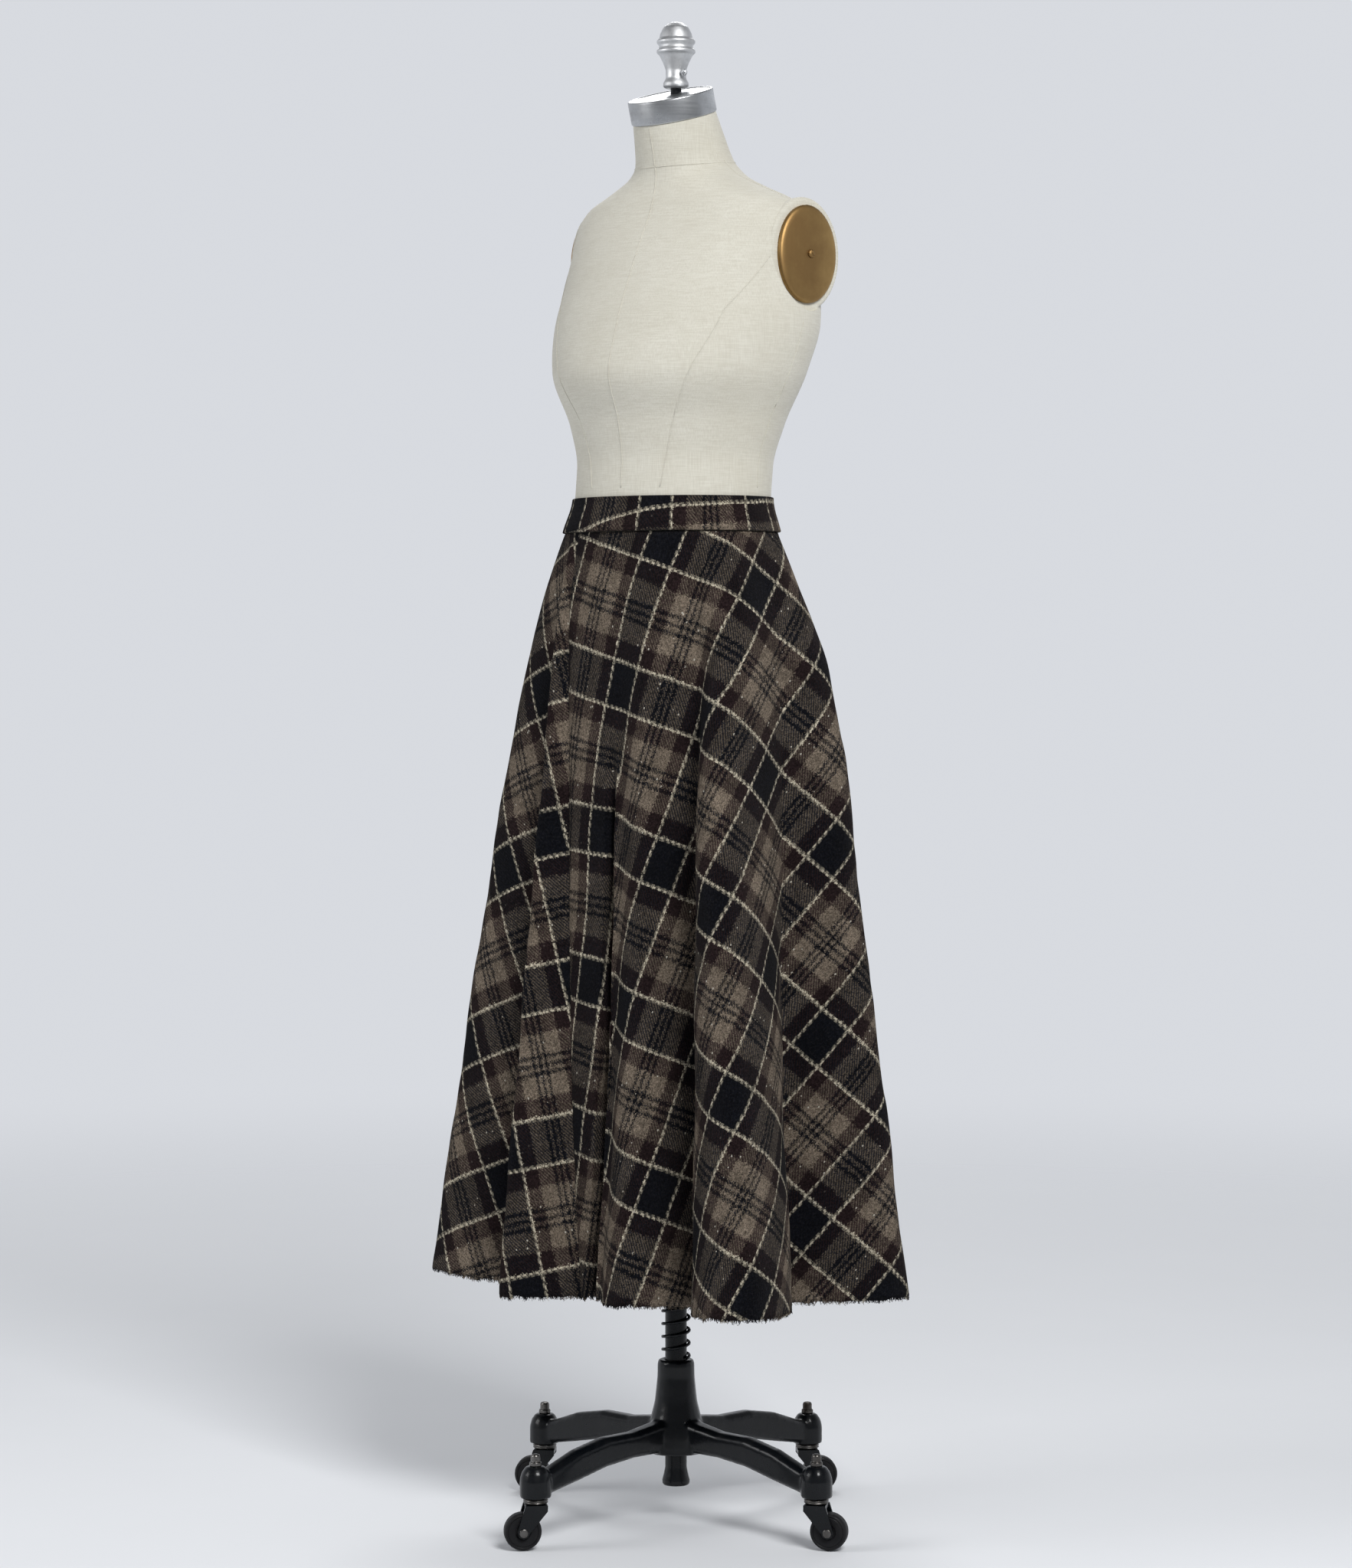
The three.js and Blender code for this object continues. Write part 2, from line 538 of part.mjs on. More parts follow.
function makeZip() {
  const holder = new THREE.Group();
  holder.applyMatrix4(zipFrame());
  part.add(holder);
  const { width, height, thick, stand, pin, barrel, grip, tab } = ZIP;
  const axisOut = thick + stand;
  let slider = toSolid(new THREE.BoxGeometry(width, height, thick).translate(0, 0, thick / 2));
  for (const side of [-1, 1]) {
    const post = new THREE.BoxGeometry(1, 2.4, stand + 2).translate(side * 3, 0, thick + stand / 2);
    slider = slider.add(toSolid(post));
  }
  const bridge = new THREE.CylinderGeometry(pin, pin, width - 1, 10).rotateZ(Math.PI / 2);
  slider = slider.add(toSolid(bridge.translate(0, 0, axisOut)));
  addMesh("zip_slider", toGeometry(slider), MATERIALS.iron, holder);

  const eye = pin + SEAM_GAP;
  const half = grip / 2;
  const loop = turned([[eye, -half], [barrel, -half], [barrel, half], [eye, half], [eye, -half]], 10);
  const outline = new THREE.Shape();
  outline.moveTo(-1.4, 1 - barrel);
  outline.lineTo(-2.6, 2.6 - tab);
  outline.absarc(0, 2.6 - tab, 2.6, Math.PI, 2 * Math.PI, false);
  outline.lineTo(1.4, 1 - barrel);
  const plate = new THREE.ExtrudeGeometry(outline, { depth: 1.2, bevelEnabled: false, curveSegments: 6 });
  const bore = new THREE.CylinderGeometry(eye, eye, width, 10).rotateZ(Math.PI / 2);
  const whole = toSolid(loop.rotateY(Math.PI / 2)).add(toSolid(plate.translate(0, 0, -0.6)));
  const pull = toGeometry(whole.subtract(toSolid(bore)));
  addMesh("zip_pull", pull.translate(0, 0, axisOut), MATERIALS.iron, holder);
}

// Stand

function makePole() {
  const socketTop = FORM_LEVELS[0] - SEAM_GAP;
  const flange = { radius: 40, thick: 6 };
  const under = socketTop - flange.thick;
  const foot = POLE_FOOT_Z;
  const profile = [
    [0, foot], [14, foot], [15.2, foot + 2], [15.2, foot + 6], [13.5, foot + 12], [POLE_RADIUS, foot + 20],
    [POLE_RADIUS, under - 2], [flange.radius, under], [flange.radius, socketTop], [0, socketTop],
  ];
  addMesh("pole", turned(profile, 18), MATERIALS.iron);
}

// Coil spring that stands on the hub and bears on a collar, its ends cut square.
function makeSpring() {
  const { wire, radius, pitch, turns, sides, steps } = SPRING;
  const low = HUB_TOP + SEAM_GAP + wire;
  const rings = Array.from({ length: turns * steps + 1 }, (_, i) => {
    const angle = (i / steps) * 2 * Math.PI;
    const z = low + (i / steps) * pitch;
    return Array.from({ length: sides }, (_, j) => {
      const around = (j / sides) * 2 * Math.PI;
      const r = radius + wire * Math.cos(around);
      return [r * Math.cos(angle), r * Math.sin(angle), z - wire * Math.sin(around)];
    });
  });
  addMesh("spring", loftSolid(rings), MATERIALS.iron);
  const seat = low + turns * pitch + wire + SEAM_GAP;
  const top = seat + COLLAR_HEIGHT;
  const [bore, rim] = [POLE_RADIUS + SEAM_GAP, 19];
  const collar = [[bore, seat], [rim, seat], [rim, top], [bore, top], [bore, seat]];
  addMesh("spring_collar", turned(collar, 20), MATERIALS.iron);
}

// One leg's section: an upright oblong with cut corners, across the leg's direction.
function legRing({ out, low, high, wide }) {
  const cut = 5;
  const half = wide / 2;
  return [
    [out, half - cut, low], [out, half, low + cut], [out, half, high - cut], [out, half - cut, high],
    [out, cut - half, high], [out, -half, high - cut], [out, -half, low + cut], [out, cut - half, low],
  ];
}

function legTurn(leg) {
  return rad(BASE_TURN + 45 + (360 / LEG_COUNT) * leg) - Math.PI / 2;
}

function makeBase() {
  const hubProfile = [
    [0, 76], [33, 76], [35, 80], [33.5, 98], [28, 115], [23.5, 133], [20.8, 160], [20.6, 175], [19, HUB_TOP],
    [0, HUB_TOP],
  ];
  let casting = toSolid(turned(hubProfile, 20));
  for (let leg = 0; leg < LEG_COUNT; leg++) {
    const arm = loftSolid(LEG_SECTIONS.map(legRing)).rotateZ(legTurn(leg));
    const { low, high, radius } = SOCKET;
    const dome = [[radius, high - 15], [radius - 2, high - 7], [radius - 7, high], [0, high]];
    const socket = turned([[0, low], [radius, low], ...dome], 14).translate(LEG_REACH, 0, 0);
    casting = casting.add(toSolid(arm)).add(toSolid(socket.rotateZ(legTurn(leg))));
  }
  const bore = turned([[0, 60], [POLE_BORE, 60], [POLE_BORE, 200], [0, 200]], 22);
  addMesh("stand_base", toGeometry(casting.subtract(toSolid(bore))), MATERIALS.iron);
}

const WHEEL_LIFT = WHEEL.radius * Math.cos(Math.PI / WHEEL.facets); // a facet lies flat on the floor

// Side plates and top of a caster's fork, in its own frame: trail along +X, axle along Y.
function forkGeometry() {
  const corners = [
    [-12, FORK.top], [-12, 43], [7, 20], [9.3, 15.6], [14, 13.6], [18.7, 15.6], [20.6, 21], [12, FORK.top],
  ];
  const outline = new THREE.Shape(corners.map(([x, z]) => new THREE.Vector2(x, z)));
  const hole = new THREE.Path();
  hole.absarc(WHEEL.trail, WHEEL_LIFT, WHEEL.bore, 0, 2 * Math.PI, true);
  outline.holes.push(hole);
  const settings = { depth: FORK.plate, bevelEnabled: false, curveSegments: 5 };
  const plate = new THREE.ExtrudeGeometry(outline, settings).rotateX(Math.PI / 2);
  const span = 2 * (FORK.inner + FORK.plate);
  const top = new THREE.BoxGeometry(23.5, span, FORK.top - FORK.under);
  let fork = toSolid(top.translate(-0.25, 0, (FORK.top + FORK.under) / 2));
  for (const y of [-FORK.inner, FORK.inner + FORK.plate]) {
    fork = fork.add(toSolid(plate.clone().translate(0, y, 0)));
  }
  return toGeometry(fork);
}

function wheelGeometry() {
  const { radius, width, bore, facets } = WHEEL;
  const half = width / 2;
  const profile = [
    [bore, -half + 2], [8, -half + 2], [radius - 4, -half], [radius - 1, -half + 1.4], [radius, -half + 4],
    [radius, half - 4], [radius - 1, half - 1.4], [radius - 4, half], [8, half - 2], [bore, half - 2],
    [bore, -half + 2],
  ];
  return turned(profile, facets).rotateZ(Math.PI / facets).rotateX(-Math.PI / 2);
}

function makeCaster(corner, leg) {
  const foot = legTurn(leg);
  const [x, y] = [LEG_REACH * Math.cos(foot), LEG_REACH * Math.sin(foot)];
  const stud = [[0, 0], [6.6, 0], [6.6, 3.5], [5.2, 4.5], [5.2, 11], [4, 12.6], [0, 12.6]];
  addMesh(`stud_${corner}`, turned(stud, 12).translate(x, y, SOCKET.high + SEAM_GAP), MATERIALS.steel);

  const swivel = new THREE.Group();
  swivel.position.set(x, y, 0);
  swivel.rotation.set(0, 0, rad(CASTER_TRAILS[corner]) - Math.PI / 2);
  part.add(swivel);
  const race = [
    [0, FORK.top + SEAM_GAP], [11, FORK.top + SEAM_GAP], [13.6, FORK.top + 2.2], [13.6, SOCKET.low - 2.4],
    [12, SOCKET.low - SEAM_GAP], [0, SOCKET.low - SEAM_GAP],
  ];
  addMesh(`race_${corner}`, turned(race, 14), MATERIALS.steel, swivel);
  addMesh(`fork_${corner}`, forkGeometry(), MATERIALS.iron, swivel);
  const wheel = addMesh(`wheel_${corner}`, wheelGeometry(), MATERIALS.rubber, swivel);
  wheel.position.set(WHEEL.trail, 0, WHEEL_LIFT);
  const [neck, head, tip] = [FORK.inner + FORK.plate + SEAM_GAP, 4.6, FORK.inner + FORK.plate + 2];
  const axle = [
    [0, -tip], [head, -tip], [head, -neck], [AXLE_RADIUS, -neck],
    [AXLE_RADIUS, neck], [head, neck], [head, tip], [0, tip],
  ];
  const pinShape = turned(axle, 12).rotateX(Math.PI / 2);
  const pin = addMesh(`axle_${corner}`, pinShape, MATERIALS.steel, swivel);
  pin.position.copy(wheel.position);
}

makeTorso();
makeArmPlate(1, "left");
makeArmPlate(-1, "right");
makeNeckTop();
makeWaistband();
makePanel("skirt_panel_left", LEFT_FOLDS, BACK_SEAM, 0);
makePanel("skirt_panel_right", RIGHT_FOLDS, FRONT_SEAM, 2 * Math.PI);
makeZip();
makePole();
makeSpring();
makeBase();
["front_left", "back_left", "back_right", "front_right"].forEach(makeCaster);

export default part;
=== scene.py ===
"""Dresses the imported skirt, dress form and stand: woven cloth, seams, frayed hem, finishes, light and camera.

Tables are in millimetres, as in the part's own source, and meshes are in metres.
An azimuth is measured from the form's front (-Y) towards its left side (+X).
"""

from collections import namedtuple
from math import cos, pi, radians, sin

import bmesh
import bpy
import numpy as np
from mathutils import Matrix, Vector


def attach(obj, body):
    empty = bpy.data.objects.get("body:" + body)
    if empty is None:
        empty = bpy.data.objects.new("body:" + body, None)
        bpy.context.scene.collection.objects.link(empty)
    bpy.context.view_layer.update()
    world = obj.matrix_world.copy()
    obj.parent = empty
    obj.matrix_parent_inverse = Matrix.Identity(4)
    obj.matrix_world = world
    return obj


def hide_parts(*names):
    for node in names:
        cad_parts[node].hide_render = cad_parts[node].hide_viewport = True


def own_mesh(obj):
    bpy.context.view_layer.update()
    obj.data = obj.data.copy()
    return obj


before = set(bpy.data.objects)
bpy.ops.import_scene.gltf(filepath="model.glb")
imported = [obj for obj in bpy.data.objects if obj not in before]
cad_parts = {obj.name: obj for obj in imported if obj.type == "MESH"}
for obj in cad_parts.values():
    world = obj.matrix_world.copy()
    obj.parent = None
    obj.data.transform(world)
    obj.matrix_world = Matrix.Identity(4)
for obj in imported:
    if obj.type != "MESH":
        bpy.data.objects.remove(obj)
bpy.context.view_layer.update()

MM = 0.001
SEED = 7

# Sizes shared with the part's source

WAIST_Z = 1131
BAND_HEIGHT = 38
BAND_WALL = 2.6
CLOTH = 2
SEAM_GAP = 0.3
WEAR_GAP = 0.6
HEM_Z = 259
CUT_LENGTH = 842
SEAM_SWEEP = 711
HEM_SWEEP = 2400
HIP_EASE = 2
HIP_Z = 930
ROLL_START = 230
TUCK_START = 220
TUCK_RUN = 220
SEAM_Z = WAIST_Z - BAND_HEIGHT - SEAM_GAP

Section = namedtuple("Section", "z half front back shift tilt upper", defaults=(0, 0))
Fold = namedtuple("Fold", "start swing share lean roll pinch drop side", defaults=(0, 0, 0, 0, 1))

HEM_BASE = Section(z=HEM_Z, half=157, front=120, back=130, shift=0)
LEFT_FOLDS = [
    Fold(start=-19.5, swing=-15.5, share=0),
    Fold(start=-16.5, swing=12.5, share=0.13, side=-1),
    Fold(start=-8.5, swing=12.5, share=0.06, lean=-0.3, drop=-4),
    Fold(start=49, swing=0, share=0.36, lean=-0.5, roll=-1.6, pinch=0.18, drop=-8),
    Fold(start=84, swing=0, share=0.245, pinch=0.02, drop=-5),
    Fold(start=131, swing=-5, share=0.21, pinch=0.06, drop=2),
]
RIGHT_FOLDS = [
    Fold(start=169, swing=-22.5, share=0.2, lean=0.05, pinch=0.12, drop=3),
    Fold(start=203, swing=-12, share=0.18, lean=-0.04, pinch=0.1),
    Fold(start=235, swing=-6, share=0.18, lean=-0.04, pinch=0.1),
    Fold(start=269, swing=0, share=0.285, lean=0.03, pinch=0.04, drop=-12),
    Fold(start=314, swing=0, share=0.14, lean=-0.1, pinch=0.02),
]
FRONT_SEAM = LEFT_FOLDS[0]
BACK_SEAM = RIGHT_FOLDS[0]

FORM_SECTIONS = [
    Section(892, 154, 104, 119, -2),
    Section(930, 157, 106, 122, -3),
    Section(985, 150, 104, 117, -7),
    Section(1035, 139, 100, 109, -10),
    Section(1085, 126, 95, 99.5, -10),
    Section(1127, 116.5, 91, 93, -7),
    Section(1165, 116, 92, 94, -3),
    Section(1210, 126, 103, 102, 2),
    Section(1270, 151, 127, 115, 9),
    Section(1320, 160, 122, 121, 19),
    Section(1370, 155, 107, 116, 25),
    Section(1410, 151, 90, 102, 27),
    Section(1435, 148, 76, 88, 27),
    Section(1453, 134, 67, 77, 25),
    Section(1470, 98, 60, 68, 23),
    Section(1485, 68, 56, 60, 20, 2),
    Section(1500, 55, 53, 53, 15, 7),
    Section(1524, 49.5, 49.5, 49.5, 6, 13),
    Section(1548, 46, 46, 46, -3, 17),
]

ArmStump = namedtuple("ArmStump", "x y z half_depth half_height length rounding turn")
ARM = ArmStump(x=150, y=36, z=1393, half_depth=50, half_height=62, length=70, rounding=4, turn=12)
PLATE_INSET = 9
PLATE_THICK = 5
PLATE_CROWN = 3.5
CAP_RADIUS = 47.5
CAP_HEIGHT = 26
CAP_RIM = 2.5
FINIAL_FOOT_Z = 1580.5
FINIAL_SCREW_AZIMUTH = 70

POLE_RADIUS = 12
POLE_FOOT_Z = 39
HUB_TOP = 179
SPRING_WIRE = 1.8
SPRING_RADIUS = 14.7
SPRING_PITCH = 14.2
SPRING_TURNS = 10
COLLAR_HEIGHT = 16
BASE_TURN = 38
LEG_REACH = 213
SOCKET_LOW = 56
SOCKET_HIGH = 90
WHEEL_RADIUS = 20.2
SOLID_WHEEL_RADIUS = 20.5
SOLID_WHEEL_SIDES = 20
WHEEL_WIDTH = 18
WHEEL_TRAIL = 14
AXLE_RADIUS = 3
FORK_OUTER = 13
FORK_TOP = 49.2
CASTER_TRAILS = {"front_left": 115, "back_left": 133, "back_right": -57, "front_right": -44}

# The cloth's pattern, counted in yarns along the cut

GRAIN = radians(12)
WARP_PITCH = 1.657
WEFT_PITCH = 2.29
WARP_LINE_LEFT = 488
WARP_LINE_RIGHT = 437
WEFT_LINE = 3.5
WEFT_SLIP_RIGHT = 8
SETT = [
    ("cream", 1), ("brown", 9), ("taupe", 10), ("black", 2), ("taupe", 2), ("black", 2),
    ("taupe", 2), ("black", 2), ("taupe", 10), ("brown", 9), ("cream", 1), ("black", 22),
]
SETT_YARNS = sum(count for _, count in SETT)
FIRST_LINE = 0.5
SECOND_LINE = 49.5
BLACK_BAND = SETT_YARNS - SECOND_LINE + FIRST_LINE
BAND_SCATTER = 0.8
STRAY_SHARE = 0.06
BRUSHED_OVER = 0.34
THREADS_A_YARN = 2
WOOL = {
    "cream": (0.46, 0.415, 0.32),
    "taupe": (0.147, 0.118, 0.090),
    "black": (0.0065, 0.0078, 0.0122),
    "brown": (0.025, 0.0145, 0.0155),
}
LIGHTNESS = {"cream": 1, "taupe": 1, "black": 0, "brown": 0.1}
# How far a yarn is darkened where a dark yarn lies under it: partly painted shade between rough yarns, partly
# the dark yarn's fibres showing.
SHADE_AND_DARK_FIBRE = 0.5
DRIFT = 0.5
DRIFT_SCALE = 60.0
WANDER = 0.22
WANDER_SCALE = 570.0
WEAR_SCALE = 65.0
CLUMP_SCALE = 720.0
PATCH_SCALE = 61.0
FLECK_SCALE = 230.0
FLECK_SIZE = 0.12
FLECKLESS_SHARE = 0.6
NAP_COLOUR = (0.10, 0.084, 0.066)
FLECK_COLOUR = (0.52, 0.49, 0.42)


# Numbers and small curves


def smooth(x):
    x = min(max(x, 0.0), 1.0)
    return x * x * (3 - 2 * x)


def lerp(a, b, t):
    return a + (b - a) * t


def column_slope(rows, column, i):
    """Slope of a table's column at row i, flat where the column turns."""

    def step(j):
        return (rows[j + 1][column] - rows[j][column]) / (rows[j + 1].z - rows[j].z)

    if i == 0:
        return step(0)
    if i == len(rows) - 1:
        return step(i - 1)
    before, after = step(i - 1), step(i)
    return 0 if before * after <= 0 else 2 * before * after / (before + after)


def form_section(z):
    """The form's section at a height, on smooth curves through the table."""
    rows = FORM_SECTIONS
    i = max(0, min(len(rows) - 2, sum(row.z <= z for row in rows) - 1))
    span = rows[i + 1].z - rows[i].z
    t = min(max((z - rows[i].z) / span, 0), 1)
    cubic = 2 * t**3 - 3 * t**2 + 1
    values = []
    for column in range(len(rows[i])):
        bend_a = column_slope(rows, column, i) * span
        bend_b = column_slope(rows, column, i + 1) * span
        ends = cubic * rows[i][column] + (1 - cubic) * rows[i + 1][column]
        values.append(ends + (t**3 - 2 * t**2 + t) * bend_a + (t**3 - t**2) * bend_b)
    return Section(*values)


def section_radius(section, azimuth):
    depth = np.where(np.cos(azimuth) > 0, section.front, section.back)
    return 1 / np.hypot(np.sin(azimuth) / section.half, np.cos(azimuth) / depth)


def unit(vectors):
    return vectors / np.linalg.norm(vectors, axis=-1, keepdims=True)


def step_lengths(points, axis):
    return np.linalg.norm(np.diff(points, axis=axis), axis=-1)


def run_along(points):
    """Distance of each point from the first, along the line."""
    return np.concatenate([[0], np.cumsum(step_lengths(points, 0))])


def spot(azimuth, distance, height):
    """A place seen from the middle at an azimuth in degrees."""
    angle = radians(azimuth)
    return distance * sin(angle), -distance * cos(angle), height


def soft_noise(x, y, size):
    """Gentle unevenness between -1 and 1, from a few crossing waves."""
    a = np.sin(x / size + 1.3 * np.sin(y / (1.7 * size)))
    b = np.sin(y / (0.8 * size) + 1.1 * np.sin(x / (1.3 * size)) + 2)
    return 0.5 * (a + b)


# Meshes


def placed(name, data):
    obj = bpy.data.objects.new(name, data)
    bpy.context.scene.collection.objects.link(obj)
    return obj


def corner_points(mesh):
    corners = np.empty(len(mesh.loops), np.int32)
    mesh.loops.foreach_get("vertex_index", corners)
    return corners


def make_mesh(name, points, faces, uvs=None, sharp=None):
    """A smooth-shaded object from points in millimetres. uvs holds one pair for each point."""
    mesh = bpy.data.meshes.new(name)
    mesh.from_pydata((np.asarray(points, float) * MM).tolist(), [], faces)
    if uvs is not None:
        layer = mesh.uv_layers.new(name="cloth")
        layer.data.foreach_set("uv", (np.asarray(uvs, float)[corner_points(mesh)] * MM).ravel())
    mesh.shade_smooth()
    if sharp is not None:
        mesh.set_sharp_from_angle(angle=radians(sharp))
    mesh.validate()
    return placed(name, mesh)


def grid_faces(rows, columns, around=False):
    """Quads of a grid whose rows run down and whose columns run by rising azimuth."""
    last = columns if around else columns - 1
    faces = []
    for i in range(rows - 1):
        for j in range(last):
            k = (j + 1) % columns
            faces.append((i * columns + j, (i + 1) * columns + j, (i + 1) * columns + k, i * columns + k))
    return faces


def closed_tube_faces(rows, columns):
    """Quads of a tube of rings, with its two ends closed."""
    faces = grid_faces(rows, columns, around=True)
    faces.append(tuple(range(columns)))
    faces.append(tuple(reversed(range((rows - 1) * columns, rows * columns))))
    return faces


def turned_mesh(name, profile, sides=72, matrix=None, sharp=35, scale=(1, 1)):
    """A piece turned about +Z from (radius, height) pairs that go up its outside."""
    angles = np.arange(sides) * 2 * pi / sides
    points = []
    for radius, height in reversed(profile):
        ring = [np.cos(angles) * radius * scale[0], np.sin(angles) * radius * scale[1]]
        points.extend(np.stack([*ring, np.full(sides, float(height))], 1))
    faces = grid_faces(len(profile), sides, around=True)
    obj = make_mesh(name, np.array(points), faces, sharp=sharp)
    weld(obj)
    if matrix is not None:
        obj.data.transform(matrix)
    return obj


def weld(obj):
    """Merges points that coincide, such as the ends of a turned profile."""
    work = bmesh.new()
    work.from_mesh(obj.data)
    bmesh.ops.remove_doubles(work, verts=work.verts, dist=1e-6)
    work.to_mesh(obj.data)
    work.free()


def rounded(profile, radius, steps=3):
    """A profile with its corners cut to short arcs, for edges that catch the light."""
    points = [Vector((*p, 0)) for p in profile]
    out = [points[0]]
    for before, corner, after in zip(points, points[1:], points[2:]):
        back, ahead = before - corner, after - corner
        reach = min(radius, 0.4 * back.length, 0.4 * ahead.length)
        if reach < 0.05 or back.angle(ahead, pi) > radians(160):
            out.append(corner)
            continue
        start = corner + back.normalized() * reach
        end = corner + ahead.normalized() * reach
        for k in range(steps + 1):
            t = k / steps
            out.append(start * (1 - t) ** 2 + corner * 2 * t * (1 - t) + end * t**2)
    out.append(points[-1])
    return [(p.x, p.y) for p in out]


def mm_matrix(x, y, z, *turns):
    """A place in millimetres after turns given as (degrees, axis)."""
    matrix = Matrix.Translation(Vector((x, y, z)) * MM)
    for degrees, axis in turns:
        matrix = matrix @ Matrix.Rotation(radians(degrees), 4, axis)
    return matrix


def tube(points, radius, sides=8):
    """Points and faces of a tube along a path, with its ends closed."""
    path = np.asarray(points, float)
    along = unit(np.gradient(path, axis=0))
    helper = np.where(np.abs(along[:, 2:3]) > 0.9, [[1.0, 0, 0]], [[0, 0, 1.0]])
    first = unit(np.cross(along, helper))
    second = np.cross(along, first)
    turn = np.arange(sides) * 2 * pi / sides
    rings = path[:, None] + radius * (
        np.cos(turn)[None, :, None] * first[:, None] + np.sin(turn)[None, :, None] * second[:, None]
    )
    return rings.reshape(-1, 3), closed_tube_faces(len(path), sides)


def joined(parts):
    """One list of points and faces from several."""
    points, faces, offset = [], [], 0
    for some_points, some_faces in parts:
        points.append(some_points)
        faces.extend(tuple(k + offset for k in face) for face in some_faces)
        offset += len(some_points)
    return np.concatenate(points), faces


def finish_piece(obj, body, slot, material, *nodes):
    """Gives a piece its material, the body it rides on and the nodes it stands for."""
    obj.data.materials.clear()
    obj.data.materials.append(material)
    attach(obj, body)
    if nodes:
        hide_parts(*nodes)
    return obj


def turned_piece(name, profile, edge, sides, place, body, slot, material):
    """A turned piece with softened edges, which stands for the node of its name."""
    piece = turned_mesh(name, rounded(profile, edge), sides, place)
    return finish_piece(piece, body, slot, material, name)


def mirrored_profile(upper):
    """A turned profile that is the same above and below its middle."""
    return [(radius, -height) for radius, height in upper] + upper[::-1]


def applied(obj):
    """Applies an object's modifiers to its mesh."""
    bpy.context.view_layer.update()
    graph = bpy.context.evaluated_depsgraph_get()
    mesh = bpy.data.meshes.new_from_object(obj.evaluated_get(graph))
    obj.modifiers.clear()
    obj.data = mesh
    return obj


def cut_or_join(obj, other, operation):
    modifier = obj.modifiers.new("solid", "BOOLEAN")
    modifier.operation = operation
    modifier.solver = "MANIFOLD"
    modifier.object = other
    applied(obj)
    bpy.data.objects.remove(other)


# Materials


class Graph:
    """A small writer for the nodes of a new material, or of the world."""

    def __init__(self, name, world=None):
        self.material = world or bpy.data.materials.new(name)
        self.material.use_nodes = True
        self.nodes = self.material.node_tree.nodes
        self.links = self.material.node_tree.links
        self.shader = self.nodes["Background" if world else "Principled BSDF"]

    def add(self, kind, inputs=None, **settings):
        node = self.nodes.new(kind)
        for key, value in settings.items():
            setattr(node, key, value)
        for key, value in (inputs or {}).items():
            self.feed(node.inputs[key], value)
        return node

    def feed(self, socket, value):
        if isinstance(value, bpy.types.NodeSocket):
            self.links.new(value, socket)
        else:
            socket.default_value = value

    def math(self, operation, *values):
        return self.add("ShaderNodeMath", dict(enumerate(values)), operation=operation).outputs[0]

    def plus(self, a, b):
        return self.math("ADD", a, b)

    def minus(self, a, b):
        return self.math("SUBTRACT", a, b)

    def times(self, a, b):
        return self.math("MULTIPLY", a, b)

    def mix(self, share, a, b, blend="MIX"):
        node = self.add("ShaderNodeMix", {"Factor": share}, data_type="RGBA", blend_type=blend)
        for socket, value in ((node.inputs[6], a), (node.inputs[7], b)):
            self.feed(socket, (*value, 1) if isinstance(value, tuple) and len(value) == 3 else value)
        return node.outputs[2]

    def spread(self, value, low, high, to_low=0.0, to_high=1.0, kind="LINEAR"):
        inputs = {0: value, 1: low, 2: high, 3: to_low, 4: to_high}
        return self.add("ShaderNodeMapRange", inputs, interpolation_type=kind).outputs[0]

    def place(self, stretch=(1, 1, 1)):
        coords = self.add("ShaderNodeTexCoord").outputs["Object"]
        return self.add("ShaderNodeMapping", {"Vector": coords, "Scale": stretch}).outputs[0]

    def noise(self, vector, scale, detail=3.0, roughness=0.55):
        inputs = {"Vector": vector, "Scale": scale, "Detail": detail, "Roughness": roughness}
        return self.add("ShaderNodeTexNoise", inputs).outputs[0]

    def sway(self, vector, scale, reach):
        """Soft noise between -reach and reach."""
        return self.spread(self.noise(vector, scale, 2.0), 0.0, 1.0, -reach, reach)

    def bump(self, height, strength, distance):
        node = self.add("ShaderNodeBump", {"Height": height, "Strength": strength, "Distance": distance})
        self.links.new(node.outputs[0], self.shader.inputs["Normal"])

    def set(self, **values):
        for key, value in values.items():
            self.feed(self.shader.inputs[key.replace("_", " ")], value)
        return self.material


def sett_colour(graph, yarns):
    """The colour at a place in the repeat, from the table of bands, and how light its wool is."""
    share = graph.math("DIVIDE", graph.math("FLOORED_MODULO", yarns, SETT_YARNS), SETT_YARNS)
    node = graph.add("ShaderNodeValToRGB", {0: share})
    node.color_ramp.interpolation = "CONSTANT"
    stops = node.color_ramp.elements
    stops.remove(stops[-1])
    reached = 0
    for colour, count in SETT:
        stop = stops.new(reached / SETT_YARNS) if reached else stops[0]
        stop.color = (*WOOL[colour], LIGHTNESS[colour])
        reached += count
    return node.outputs


def twill(graph, thread, crossed):
    """1 where a thread of a 2/2 twill lies over the ones that it crosses, and 0 where it lies under."""
    return graph.math("LESS_THAN", graph.math("FLOORED_MODULO", graph.plus(thread, crossed), 4.0), 2.0)


def line_beads(graph, yarn, crossed):
    """Where the repeat's two cream yarns lie over the cloth, with the fibres that they shed beside them."""
    middle, half = (FIRST_LINE + SECOND_LINE) / 2, (SECOND_LINE - FIRST_LINE) / 2
    turned = graph.minus(graph.plus(yarn, 0.5), middle - SETT_YARNS / 2)
    inside = graph.math("FLOORED_MODULO", turned, SETT_YARNS)
    apart = graph.math("ABSOLUTE", graph.minus(inside, SETT_YARNS / 2))
    beside = graph.times(graph.math("COMPARE", apart, half + 1, 0.25), BRUSHED_OVER)
    line = graph.plus(graph.math("COMPARE", apart, half, 0.25), beside)
    return graph.times(line, graph.spread(twill(graph, yarn, crossed), 0.0, 1.0, 0.12, 1.0))


